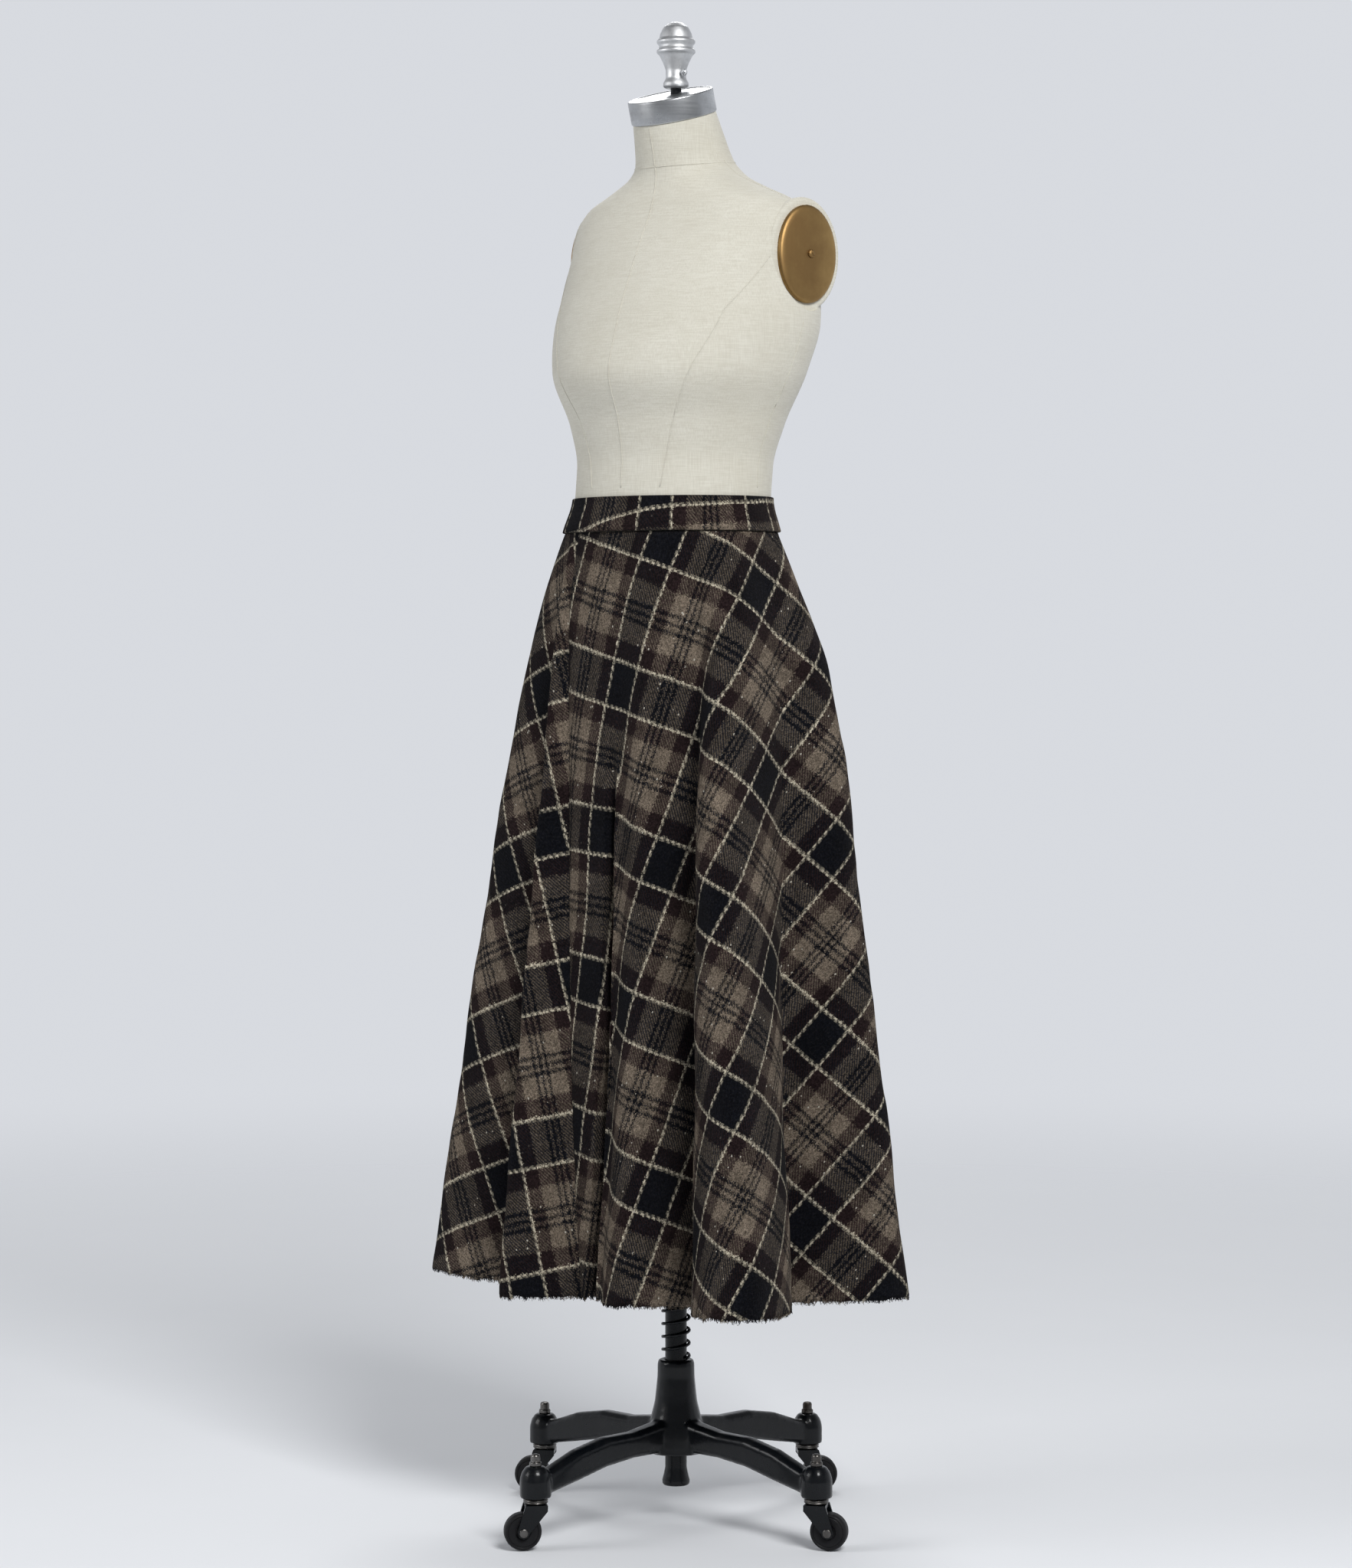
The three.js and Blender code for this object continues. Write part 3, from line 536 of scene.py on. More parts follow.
def ground_colour(graph, thread, scatter):
    """A thread's colour at one crossing, scattered so that the bands' edges run into each other."""
    middle = graph.math("DIVIDE", graph.plus(thread, 0.5), THREADS_A_YARN)
    stray = graph.spread(scatter, 0.0, 1.0, -BAND_SCATTER, BAND_SCATTER)
    return sett_colour(graph, graph.plus(middle, stray))


def thread_ridge(graph, fine):
    return graph.math("SINE", graph.times(graph.math("FRACT", fine), pi))


def woven(graph, uv, loose):
    """Colour, lightness and relief of a 2/2 twill over the check, with painted shade where a yarn lies over a
    dark one, and its cream yarns laid on top.
    """
    counts = graph.add("ShaderNodeSeparateXYZ", {0: uv})
    drift = graph.sway(uv, DRIFT_SCALE, DRIFT)
    wander = graph.sway(uv, WANDER_SCALE, WANDER)
    across = graph.plus(graph.plus(graph.times(counts.outputs[0], 1 / MM), drift), wander)
    along = graph.plus(graph.minus(graph.times(counts.outputs[1], 1 / MM), drift), wander)
    fine_across = graph.times(across, THREADS_A_YARN)
    fine_along = graph.times(along, THREADS_A_YARN)
    end, pick = graph.math("FLOOR", fine_across), graph.math("FLOOR", fine_along)

    crossing = graph.add("ShaderNodeCombineXYZ", {0: end, 1: pick}).outputs[0]
    chance = graph.add("ShaderNodeTexWhiteNoise", {"Vector": crossing}, noise_dimensions="2D").outputs[1]
    first, second, third = graph.add("ShaderNodeSeparateColor", {0: chance}).outputs
    warp, warp_light = ground_colour(graph, end, first)
    weft, weft_light = ground_colour(graph, pick, first)
    stray = graph.math("LESS_THAN", second, STRAY_SHARE)
    over = graph.math("ABSOLUTE", graph.minus(twill(graph, end, pick), stray))
    colour = graph.mix(1.0 if loose else graph.spread(over, 0.0, 1.0, 0.05, 0.95), weft, warp)
    under = graph.add("ShaderNodeMix", {"Factor": over, 2: warp_light, 3: weft_light}).outputs[0]
    tone = graph.spread(third, 0.0, 1.0, 0.5, 1.5)
    # Painted shade, in part: a yarn over a dark yarn is darkened, for the shade between rough yarns and for the
    # dark yarn's fibres showing.
    tone = graph.times(tone, graph.spread(under, 0.0, 1.0, SHADE_AND_DARK_FIBRE, 1.0))
    colour = graph.mix(1.0, colour, tone, "MULTIPLY")

    yarn, row = graph.math("FLOOR", across), graph.math("FLOOR", along)
    beads = graph.math("MAXIMUM", line_beads(graph, yarn, row), line_beads(graph, row, yarn))
    worn = graph.spread(graph.noise(uv, WEAR_SCALE, 2.0), 0.3, 0.6, 0.65, 1.0)
    colour = graph.mix(graph.times(beads, worn), colour, WOOL["cream"])
    ridges = {2: thread_ridge(graph, fine_along), 3: thread_ridge(graph, fine_across)}
    ridge = graph.add("ShaderNodeMix", {"Factor": over, **ridges}).outputs[0]
    return colour, graph.math("MAXIMUM", warp_light, weft_light), graph.plus(ridge, beads)


def make_tweed(name, loose=False):
    """Brushed wool: the check with clumped fibres, handling and pale flecks. Loose threads show the warp."""
    graph = Graph(name)
    uv = graph.add("ShaderNodeUVMap", uv_map="cloth").outputs[0]
    colour, light, relief = woven(graph, uv, loose)
    clump = graph.noise(uv, CLUMP_SCALE, 3.0, 0.7)
    patch = graph.noise(uv, PATCH_SCALE, 3.0)
    tone = graph.spread(clump, 0.3, 0.7, 0.5, 1.5)
    tone = graph.times(tone, graph.spread(patch, 0.3, 0.7, 0.78, 1.22))
    colour = graph.mix(1.0, colour, tone, "MULTIPLY")
    colour = graph.mix(graph.spread(clump, 0.5, 0.8, 0.0, 0.1), colour, NAP_COLOUR)
    cells = graph.add("ShaderNodeTexVoronoi", {"Vector": uv, "Scale": FLECK_SCALE})
    lot = graph.add("ShaderNodeSeparateColor", {0: cells.outputs["Color"]}).outputs[0]
    near = graph.math("LESS_THAN", cells.outputs["Distance"], FLECK_SIZE)
    fleck = graph.times(near, graph.math("GREATER_THAN", lot, FLECKLESS_SHARE))
    colour = graph.mix(graph.times(graph.times(fleck, light), 0.8), colour, FLECK_COLOUR)
    graph.bump(graph.plus(relief, graph.times(clump, 1.2)), 0.7, 0.0007)
    return graph.set(
        Base_Color=colour, Roughness=0.95, Sheen_Weight=0.05, Sheen_Roughness=0.5,
        Sheen_Tint=(0.5, 0.45, 0.4, 1), Specular_IOR_Level=0.04,
    )


def make_linen():
    """Natural linen stretched over the form, slubbed both ways, a little greyed by handling."""
    graph = Graph("form_linen")
    upright = graph.noise(graph.place((1, 1, 0.03)), 1100.0, 2.0)
    level = graph.noise(graph.place((0.05, 0.05, 1)), 1100.0, 2.0)
    weave = graph.plus(upright, level)
    stain = graph.noise(graph.place(), 7.0, 4.0, 0.6)
    colour = graph.mix(graph.spread(stain, 0.35, 0.7), (0.585, 0.57, 0.50), (0.53, 0.51, 0.435))
    colour = graph.mix(graph.spread(weave, 0.8, 1.2, 0.0, 0.4), colour, (0.40, 0.37, 0.30))
    graph.bump(weave, 0.35, 0.0005)
    rough = graph.spread(weave, 0.7, 1.3, 0.82, 0.95)
    return graph.set(Base_Color=colour, Roughness=rough, Sheen_Weight=0.15, Specular_IOR_Level=0.2)


def make_metal(name, colour, tarnish, rough, grain, spots=22.0, streaks=0.3):
    """Metal with a directional grain, cloudy tarnish and duller low spots."""
    graph = Graph(name)
    lines = graph.noise(graph.place(grain), 260.0, 3.0)
    cloud = graph.noise(graph.place(), spots, 5.0, 0.65)
    worn = graph.spread(cloud, 0.38, 0.68)
    tint = graph.mix(worn, colour, tarnish)
    tint = graph.mix(graph.spread(lines, 0.35, 0.75, 0.0, streaks), tint, tarnish)
    uneven = graph.spread(lines, 0.3, 0.7, -0.2 * streaks, 0.25 * streaks)
    dull = graph.plus(uneven, graph.spread(cloud, 0.3, 0.7, rough, rough + 0.16))
    graph.bump(graph.plus(lines, graph.times(cloud, 0.6)), 0.4 * streaks, 0.0004)
    return graph.set(Base_Color=tint, Roughness=dull, Metallic=1.0)


def make_enamel(name, colour, worn_colour, rough, pits, coat=0.25):
    """Black stove enamel over iron, slightly orange-peeled, with dust and rubbed spots."""
    graph = Graph(name)
    peel = graph.noise(graph.place(), pits, 2.0)
    dust = graph.noise(graph.place(), 34.0, 6.0, 0.7)
    rubbed = graph.spread(graph.noise(graph.place(), 90.0, 4.0, 0.7), 0.62, 0.75, 0.0, 0.5)
    tint = graph.mix(graph.spread(dust, 0.5, 0.8, 0.0, 0.4), colour, worn_colour)
    tint = graph.mix(rubbed, tint, worn_colour)
    dull = graph.spread(dust, 0.3, 0.75, rough, rough + 0.2)
    graph.bump(graph.plus(peel, graph.times(dust, 0.5)), 0.16, 0.0006)
    return graph.set(
        Base_Color=tint, Roughness=dull, Specular_IOR_Level=0.15, Coat_Weight=coat, Coat_Roughness=0.1
    )


TWEED = make_tweed("tweed")
LOOSE_THREAD = make_tweed("tweed_threads", loose=True)
LINEN = make_linen()
TURNED_ALUMINIUM = make_metal(
    "turned_aluminium", (0.54, 0.555, 0.57), (0.32, 0.325, 0.33), 0.26, grain=(0.04, 0.04, 1.3)
)
CAST_ALUMINIUM = make_metal(
    "cast_aluminium", (0.68, 0.69, 0.70), (0.50, 0.505, 0.51), 0.42, grain=(1, 1, 0.6), spots=40.0
)
BRASS = make_metal(
    "aged_brass", (0.45, 0.295, 0.115), (0.27, 0.165, 0.066), 0.34, (0.06, 1, 0.06), spots=9.0, streaks=0.1
)
ZIP_METAL = make_metal("zip_metal", (0.16, 0.13, 0.11), (0.05, 0.042, 0.036), 0.35, (1, 1, 0.3))
BLACK_STEEL = make_enamel("black_steel", (0.002, 0.0028, 0.004), (0.012, 0.012, 0.012), 0.2, 500.0)
CAST_IRON = make_enamel("black_cast_iron", (0.002, 0.0028, 0.004), (0.013, 0.013, 0.013), 0.22, 240.0)
TYRE = make_enamel("wheel_rubber", (0.008, 0.008, 0.009), (0.042, 0.04, 0.038), 0.48, 700.0, coat=0.05)
DARK_STEEL = make_metal("dark_steel", (0.17, 0.165, 0.16), (0.045, 0.038, 0.032), 0.26, (1, 1, 0.3))


# Skirt

FOLD_STEPS = 40
PANEL_ROWS = 132
PANEL_DROPS = np.linspace(0, CUT_LENGTH, PANEL_ROWS)


def valley_section(drop):
    """The line of the fold valleys: over the form to the hips, then down to the hem."""
    z = SEAM_Z - drop
    room = WEAR_GAP + CLOTH + HIP_EASE * smooth((SEAM_Z - z) / (SEAM_Z - HIP_Z))
    over = form_section(max(z, HIP_Z))
    fall = smooth((HIP_Z - z) / (HIP_Z - HEM_Z))
    upper = smooth(drop / ROLL_START) * (1 - drop / CUT_LENGTH) ** 2
    sides = ("half", "front", "back")
    sizes = [lerp(getattr(over, side) + room, getattr(HEM_BASE, side), fall) for side in sides]
    return Section(z, *sizes, lerp(over.shift, HEM_BASE.shift, fall), 0, upper)


def valley_azimuth(fold, drop):
    return radians(fold.start + fold.swing * (1 - (drop / CUT_LENGTH) ** 3))


def fold_line(section, fold, start, end, depth):
    u = np.linspace(0, 1, FOLD_STEPS + 1)
    azimuth = start + (end - start) * u
    rise = np.sin(pi * u) ** 2
    radius = section_radius(section, azimuth) + fold.side * depth * rise
    tilt = fold.lean + fold.roll * section.upper
    slide = depth * (tilt * rise - fold.pinch * np.sin(2 * pi * u))
    x, y = np.sin(azimuth), -np.cos(azimuth)
    return np.stack([radius * x - slide * y, section.shift + radius * y + slide * x], 1)


def line_length(line):
    return np.hypot(*np.diff(line, axis=0).T).sum()


def fold_of_length(section, fold, start, end, length):
    low, high = 0.0, 400.0
    for _ in range(30):
        depth = (low + high) / 2
        if line_length(fold_line(section, fold, start, end, depth)) < length:
            low = depth
        else:
            high = depth
    return fold_line(section, fold, start, end, low)


def panel_line(folds, end_fold, end_turn, drop):
    section = valley_section(drop)
    starts = [valley_azimuth(fold, drop) for fold in folds]
    ends = [*starts[1:], valley_azimuth(end_fold, drop) + end_turn]
    flat = [line_length(fold_line(section, *spot, 0)) for spot in zip(folds, starts, ends)]
    half_sweep = lerp(SEAM_SWEEP, HEM_SWEEP, drop / CUT_LENGTH) / 2
    fullness = max(0.0, half_sweep - sum(flat))
    tucked = smooth((drop - TUCK_START) / TUCK_RUN)
    weights = [fold.share * (tucked if fold.side < 0 else 1) for fold in folds]
    lines = []
    for fold, start, end, length, weight in zip(folds, starts, ends, flat, weights):
        line = fold_of_length(section, fold, start, end, length + weight / sum(weights) * fullness)
        lines.append(line[1:] if lines else line)
    return np.concatenate(lines)


def hang_panel(lines, folds):
    """Heights of a panel's points: each column keeps the cloth's length and hangs to the hem."""
    along = np.diff(PANEL_DROPS)[:, None]
    sideways = np.minimum(step_lengths(lines, 0), 0.9 * along)
    fall = np.vstack([np.zeros(lines.shape[1]), np.cumsum(np.sqrt(along**2 - sideways**2), axis=0)])
    column = np.arange(lines.shape[1])
    fold = np.minimum(column // FOLD_STEPS, len(folds) - 1)
    rise = np.sin(pi * (column % FOLD_STEPS) / FOLD_STEPS) ** 2
    hem = HEM_Z - np.array([f.drop for f in folds])[fold] * rise
    fall *= (SEAM_Z - hem) / fall[-1]
    return np.dstack([lines, SEAM_Z - fall])


def grid_normals(grid):
    across = np.gradient(grid, axis=1)
    down = np.gradient(grid, axis=0)
    return unit(np.cross(down, across))


FLAT_ROWS = 45
FLAT_STEP = 3
SEAM_DIP = 1.2
CLOSED_SEAM = 0.1


def flat_cut(grid, from_end):
    """Flat places of a panel's points: the cloth laid flat, its front seam straight down from 0, 0."""
    rows = np.unique(np.linspace(0, len(grid) - 1, FLAT_ROWS).round().astype(int))
    columns = np.arange(0, grid.shape[1], FLAT_STEP)
    columns = np.unique(np.append(columns, grid.shape[1] - 1))
    coarse = grid[np.ix_(rows, columns)]
    flat = unwrapped(coarse)
    if from_end:
        flat = flat[:, ::-1]
        coarse = coarse[:, ::-1]
    size = sum(step_lengths(coarse, axis).sum() for axis in (0, 1))
    drawn = sum(step_lengths(flat, axis).sum() for axis in (0, 1))
    flat = (flat - flat[0, 0]) * size / drawn
    seam = flat[-1, 0] / np.linalg.norm(flat[-1, 0])
    x = flat @ np.array([-seam[1], seam[0]])
    y = -(flat @ seam)
    if x.mean() < 0:
        x = -x
    if from_end:
        x, y = x[:, ::-1], y[:, ::-1]
    return spread_grid(x, rows, columns, grid), spread_grid(y, rows, columns, grid)


def spread_grid(values, rows, columns, grid):
    """Values of a coarse grid, filled in for every point of a fine one."""
    across = np.array([np.interp(np.arange(grid.shape[1]), columns, line) for line in values])
    return np.array([np.interp(np.arange(len(grid)), rows, line) for line in across.T]).T


def unwrapped(coarse):
    """The coarse panel's flat shape with the least stretch."""
    rows, columns = coarse.shape[:2]
    obj = make_mesh("flattening", coarse.reshape(-1, 3), grid_faces(rows, columns))
    bpy.ops.object.select_all(action="DESELECT")
    bpy.context.view_layer.objects.active = obj
    obj.select_set(True)
    bpy.ops.object.mode_set(mode="EDIT")
    bpy.ops.mesh.select_all(action="SELECT")
    bpy.ops.uv.unwrap(method="MINIMUM_STRETCH", iterations=40, no_flip=False)
    bpy.ops.object.mode_set(mode="OBJECT")
    corners = corner_points(obj.data)
    places = np.empty(len(corners) * 2)
    obj.data.uv_layers.active.data.foreach_get("uv", places)
    flat = np.empty((rows * columns, 2))
    flat[corners] = places.reshape(-1, 2)
    bpy.data.objects.remove(obj)
    return flat.reshape(rows, columns, 2)


def edge_runs(grid):
    """Distance of each point from its panel's first and last edge, along the cloth."""
    run = np.hstack([np.zeros((len(grid), 1)), np.cumsum(step_lengths(grid, 1), axis=1)])
    return run, run[:, -1:] - run


def thread_places(x, y, warp_line, weft_slip, mirrored):
    """Places counted in yarns, set so that the check's lines fall where they were cut."""
    u = x * cos(GRAIN) - y * sin(GRAIN) - warp_line * sin(GRAIN)
    v = x * sin(GRAIN) + y * cos(GRAIN) + (WEFT_LINE + weft_slip) * cos(GRAIN)
    u = u / WARP_PITCH + SECOND_LINE
    if mirrored:
        u = 2 * SECOND_LINE + BLACK_BAND - u
    return np.dstack([u, v / WEFT_PITCH + SECOND_LINE])


LOOSE_FROM = 60
LOOSE_RUN = 200
SEAM_HOLD = 14
WOOL_BUMPS = ((31, 1.3), (9, 0.35))
DIP_REACH = 4.5
TURN_REACH = 7
PUCKER = 0.3
PUCKER_LENGTH = 5.0


def nearness(distance, reach):
    """1 at no distance, falling to 0 past the reach."""
    return np.exp(-((distance / reach) ** 2))


def shape_cloth(grid, x, y):
    """Unevenness of hand-hung wool, and the small dip at each seam, where both panels turn in."""
    from_edge = np.minimum(*edge_runs(grid))
    free = np.array([smooth((drop - LOOSE_FROM) / LOOSE_RUN) for drop in PANEL_DROPS])[:, None]
    loose = free * (1 - nearness(from_edge, SEAM_HOLD))
    bumps = loose * sum(height * soft_noise(x, y, size) for size, height in WOOL_BUMPS)
    pucker = 1 + PUCKER * np.sin(PANEL_DROPS / PUCKER_LENGTH)[:, None]
    dip = SEAM_DIP * pucker * nearness(from_edge, DIP_REACH) * np.minimum(free * 4, 1)
    radial = unit(grid * (1, 1, 0))
    near = nearness(from_edge, TURN_REACH)[..., None]
    normal = unit(grid_normals(grid) * (1 - near) + radial * near)
    return grid + normal * (bumps - dip)[..., None]


def trim_edges(grid):
    for edge, step in ((0, 1), (-1, -2)):
        toward = grid[:, step] - grid[:, edge]
        grid[:, edge] += toward * (CLOSED_SEAM / 2 / np.linalg.norm(toward, axis=1, keepdims=True))
    return grid


HEM_JAG = 0.9


def ragged(grid, rng):
    """The raw hem's edge, a little uneven."""
    jag = rng.normal(0, HEM_JAG, grid.shape[1])
    grid[-1, :, 2] += jag
    grid[-2, :, 2] += 0.3 * jag
    return grid


def make_panel(name, folds, end_fold, end_turn, warp_line, weft_slip, mirrored, rng):
    lines = np.array([panel_line(folds, end_fold, end_turn, drop) for drop in PANEL_DROPS])
    grid = hang_panel(lines, folds)
    x, y = flat_cut(grid, from_end=mirrored)
    places = thread_places(x, y, warp_line, weft_slip, mirrored)
    grid = ragged(trim_edges(shape_cloth(grid, x, y)), rng)
    rows, columns = grid.shape[:2]
    obj = make_mesh(name, grid.reshape(-1, 3), grid_faces(rows, columns), places.reshape(-1, 2))
    wall = obj.modifiers.new("cloth", "SOLIDIFY")
    wall.thickness = CLOTH * MM
    wall.offset = -1
    applied(obj)
    finish_piece(obj, "form", "tweed", TWEED, name)
    fray = make_fray(f"{name}_fray", grid, places, rng)
    finish_piece(fray, "form", "tweed", LOOSE_THREAD)
    return obj, fray


FRAY_SPACING = 0.5
FRAY_LENGTHS = (0.8, 3.4)
FRAY_RADIUS = 0.55
FRAY_RINGS = 5
FRAY_ROOT = 2.5
FRAY_LEAN = 0.16
FRAY_CURL = 0.3
FRAY_OUT = 0.12


def make_fray(name, grid, places, rng):
    """Loose threads along the raw hem, each a thin bent tube rooted inside the cloth."""
    hem, above = grid[-1], grid[-3]
    inward = -grid_normals(grid)[-1]
    run = run_along(hem)
    count = int(run[-1] / FRAY_SPACING)
    spots = np.sort(rng.uniform(1, run[-1] - 1, count))

    def along(values):
        return np.stack([np.interp(spots, run, values[:, k]) for k in range(values.shape[1])], 1)

    root, higher, inside, place = along(hem), along(above), along(inward), along(places[-1])
    down = unit(root - higher)
    side = np.cross(down, inside)
    root = root + inside * rng.uniform(0.4, CLOTH - 0.4, (count, 1)) - down * FRAY_ROOT
    length = rng.uniform(*FRAY_LENGTHS, (count, 1)) * rng.choice([1, 1, 1, 1.4], (count, 1)) + FRAY_ROOT
    lean = rng.normal(0, FRAY_LEAN, (count, 1))
    curl = rng.normal(0, FRAY_CURL, (count, 1))
    out = rng.normal(0, FRAY_OUT, (count, 1))
    t = np.linspace(0, 1, FRAY_RINGS)[None, :, None]
    bend = (side * lean)[:, None] * t + (side * curl)[:, None] * t**2 - (inside * out)[:, None] * t**2
    path = root[:, None] + length[:, None] * (down[:, None] * t + bend * np.maximum(t - 0.2, 0))
    radius = FRAY_RADIUS * rng.uniform(0.7, 1.25, (count, 1, 1)) * (1 - 0.5 * t)
    turn = np.arange(3) * 2 * pi / 3
    ring = np.cos(turn)[:, None] * side[:, None, None] + np.sin(turn)[:, None] * inside[:, None, None]
    points = path[:, :, None] + radius[..., None] * ring
    thread = closed_tube_faces(FRAY_RINGS, 3)
    faces = [tuple(k * FRAY_RINGS * 3 + n for n in face) for k in range(count) for face in thread]
    uvs = np.repeat(place, FRAY_RINGS * 3, axis=0)
    uvs[:, 1] += (t * length[:, None] * np.ones((1, 1, 3))).reshape(-1)
    return make_mesh(name, points.reshape(-1, 3), faces, uvs)


BAND_COLUMNS = 240
BAND_SWELL = 0.35
BAND_SOFT = 0.15
BAND_EDGE = 1.2
BAND_LIP = 3.5
BAND_LINE_AZIMUTH = 38
BAND_LINE_ARC = -37.5
BAND_LINE_HEIGHT = 26
BAND_LINE_SLOPES = (0.1, 0.05)
BAND_LINE_BEND = 0.0012
BAND_LINE_STRAIGHT = 110


def band_loop():
    """The band's section: (outward offset, distance down), going down the outside and up the inside."""
    loop = []
    middle, half = WEAR_GAP + BAND_WALL / 2, BAND_WALL / 2
    for down in np.linspace(BAND_EDGE, BAND_HEIGHT - BAND_EDGE, 12):
        share = down / BAND_HEIGHT
        swell = BAND_SWELL * sin(pi * share) + BAND_LIP * smooth(share)
        loop.append((middle + half - BAND_SOFT + swell, down))
    for turn in np.linspace(0.25, 0.75, 4) * pi:
        lip = middle + BAND_LIP / 2 + (half + BAND_LIP / 2) * cos(turn)
        loop.append((lip, BAND_HEIGHT - BAND_EDGE + BAND_EDGE * sin(turn)))
    for down in np.linspace(BAND_HEIGHT - BAND_EDGE, BAND_EDGE, 6):
        loop.append((middle - half, down))
    for turn in np.linspace(0.75, 0.25, 4) * pi:
        loop.append((middle + half * cos(turn), BAND_EDGE - BAND_EDGE * sin(turn)))
    return np.array(loop)


def band_rise(arc):
    """Height of the check's line along the band, which was cut a little off the grain."""
    left = np.minimum(arc, 0)
    bend = BAND_LINE_BEND * np.maximum(left, -BAND_LINE_STRAIGHT) ** 2
    return BAND_LINE_HEIGHT + BAND_LINE_SLOPES[0] * left - bend + BAND_LINE_SLOPES[1] * np.maximum(arc, 0)


def make_waistband():
    loop = band_loop()
    opening = valley_azimuth(BACK_SEAM, 0)
    slit = SEAM_GAP / 2 / form_section(WAIST_Z).back
    azimuth = np.linspace(opening + slit, opening + 2 * pi - slit, BAND_COLUMNS)
    rings = []
    for offset, down in loop:
        section = form_section(WAIST_Z - down)
        radius = section_radius(section, azimuth) + offset
        y = section.shift - radius * np.cos(azimuth)
        rings.append(np.stack([radius * np.sin(azimuth), y, np.full(BAND_COLUMNS, WAIST_Z - down)], 1))
    grid = np.array(rings)
    arc = run_along(grid[0])
    camera_side = radians(BAND_LINE_AZIMUTH) + 2 * pi
    arc = arc - np.interp(camera_side, azimuth, arc)
    warp = (arc - BAND_LINE_ARC) / WARP_PITCH + SECOND_LINE
    height = BAND_HEIGHT - loop[:, 1]
    weft = (height[:, None] - band_rise(arc)[None]) / WEFT_PITCH + SECOND_LINE
    places = np.dstack([np.broadcast_to(warp, weft.shape), weft])
    ring = np.concatenate([grid, grid[:1]])
    ring_places = np.concatenate([places, places[:1]])
    faces = grid_faces(len(ring), BAND_COLUMNS)
    count = len(loop)
    faces.append(tuple(i * BAND_COLUMNS for i in range(count))[::-1])
    faces.append(tuple(i * BAND_COLUMNS + BAND_COLUMNS - 1 for i in range(count)))
    obj = make_mesh("waistband", ring.reshape(-1, 3), faces, ring_places.reshape(-1, 2), sharp=60)
    weld(obj)
    return finish_piece(obj, "form", "tweed", TWEED, "waistband")


# Dress form


def form_point(z, azimuth, proud=0.0):
    section = form_section(z)
    lean = radians(section.tilt)
    depth = section.front if cos(azimuth) > 0 else section.back
    y = -(depth + proud) * cos(azimuth)
    x = (section.half + proud) * sin(azimuth)
    return x, section.shift + y * cos(lean), z + y * sin(lean)


FORM_SIDES = 120
FORM_ROWS = 150


def arm_matrix(side):
    return mm_matrix(side * ARM.x, ARM.y, ARM.z, (-side * ARM.turn, "Z"), (side * 90, "Y"))


def make_torso():
    angles = np.arange(FORM_SIDES) * 2 * pi / FORM_SIDES
    heights = np.linspace(FORM_SECTIONS[-1].z, FORM_SECTIONS[0].z, FORM_ROWS)
    points = [form_point(z, a) for z in heights for a in angles]
    torso = make_mesh("form_cover", points, closed_tube_faces(FORM_ROWS, FORM_SIDES))
    lip = 1 - ARM.rounding / ARM.half_depth
    flank = [(0, -ARM.length), (0.7, -ARM.length), (1, -2 * ARM.rounding), (1, -ARM.rounding)]
    curve = [(1 - (1 - lip) * (1 - cos(t)), -ARM.rounding * (1 - sin(t))) for t in (0.4, 0.8, 1.2)]
    for side in (-1, 1):
        oval = (ARM.half_height, ARM.half_depth)
        room = [(0, 0), (1, 0), (1, ARM.length), (0, ARM.length)]
        cut_or_join(torso, turned_mesh("room", room, 96, arm_matrix(side), scale=oval), "DIFFERENCE")
        stump = [*flank, *curve, (lip, 0), (0, 0)]
        cut_or_join(torso, turned_mesh("stump", stump, 96, arm_matrix(side), scale=oval), "UNION")
    torso.data.shade_smooth()
    torso.data.set_sharp_from_angle(angle=radians(40))
    return finish_piece(torso, "form", "linen", LINEN, "form_torso")


SEAM_CORD = 0.55
SEAM_PROUD = 0.1
SEAM_POINTS = 60
NECK_ROOT_Z = 1497
SeamLine = namedtuple("SeamLine", "azimuths low high")
SEAM_LINES = [
    SeamLine((0, 180), 1140, 1546),
    SeamLine((90, -90), 1140, 1318),
    SeamLine((90, -90), 1458, 1500),
]
PRINCESS_LINES = [
    [(24, 1140), (30, 1210), (38, 1270), (46, 1330), (66, 1388)],
    [(156, 1140), (150, 1210), (142, 1290), (130, 1350), (121, 1388)],
]


def make_form_seams():
    """Sewn lines of the form's cover: centres, sides, shoulders, curved panel seams and the neck's root."""
    routes = []
    for line in SEAM_LINES:
        heights = np.linspace(line.low, line.high, SEAM_POINTS)
        for azimuth in line.azimuths:
            routes.append([(z, radians(azimuth)) for z in heights])
    for line in PRINCESS_LINES:
        azimuths, levels = zip(*line)
        heights = np.linspace(levels[0], levels[-1], SEAM_POINTS)
        turns = np.interp(heights, levels, azimuths)
        for side in (-1, 1):
            routes.append([(z, side * radians(a)) for z, a in zip(heights, turns)])
    routes.append([(NECK_ROOT_Z, a) for a in np.linspace(0, 2 * pi, 97)])
    paths = [[form_point(z, azimuth, SEAM_PROUD) for z, azimuth in route] for route in routes]
    points, faces = joined([tube(path, SEAM_CORD, 6) for path in paths])
    return finish_piece(make_mesh("form_seams", points, faces), "form", "linen", LINEN)


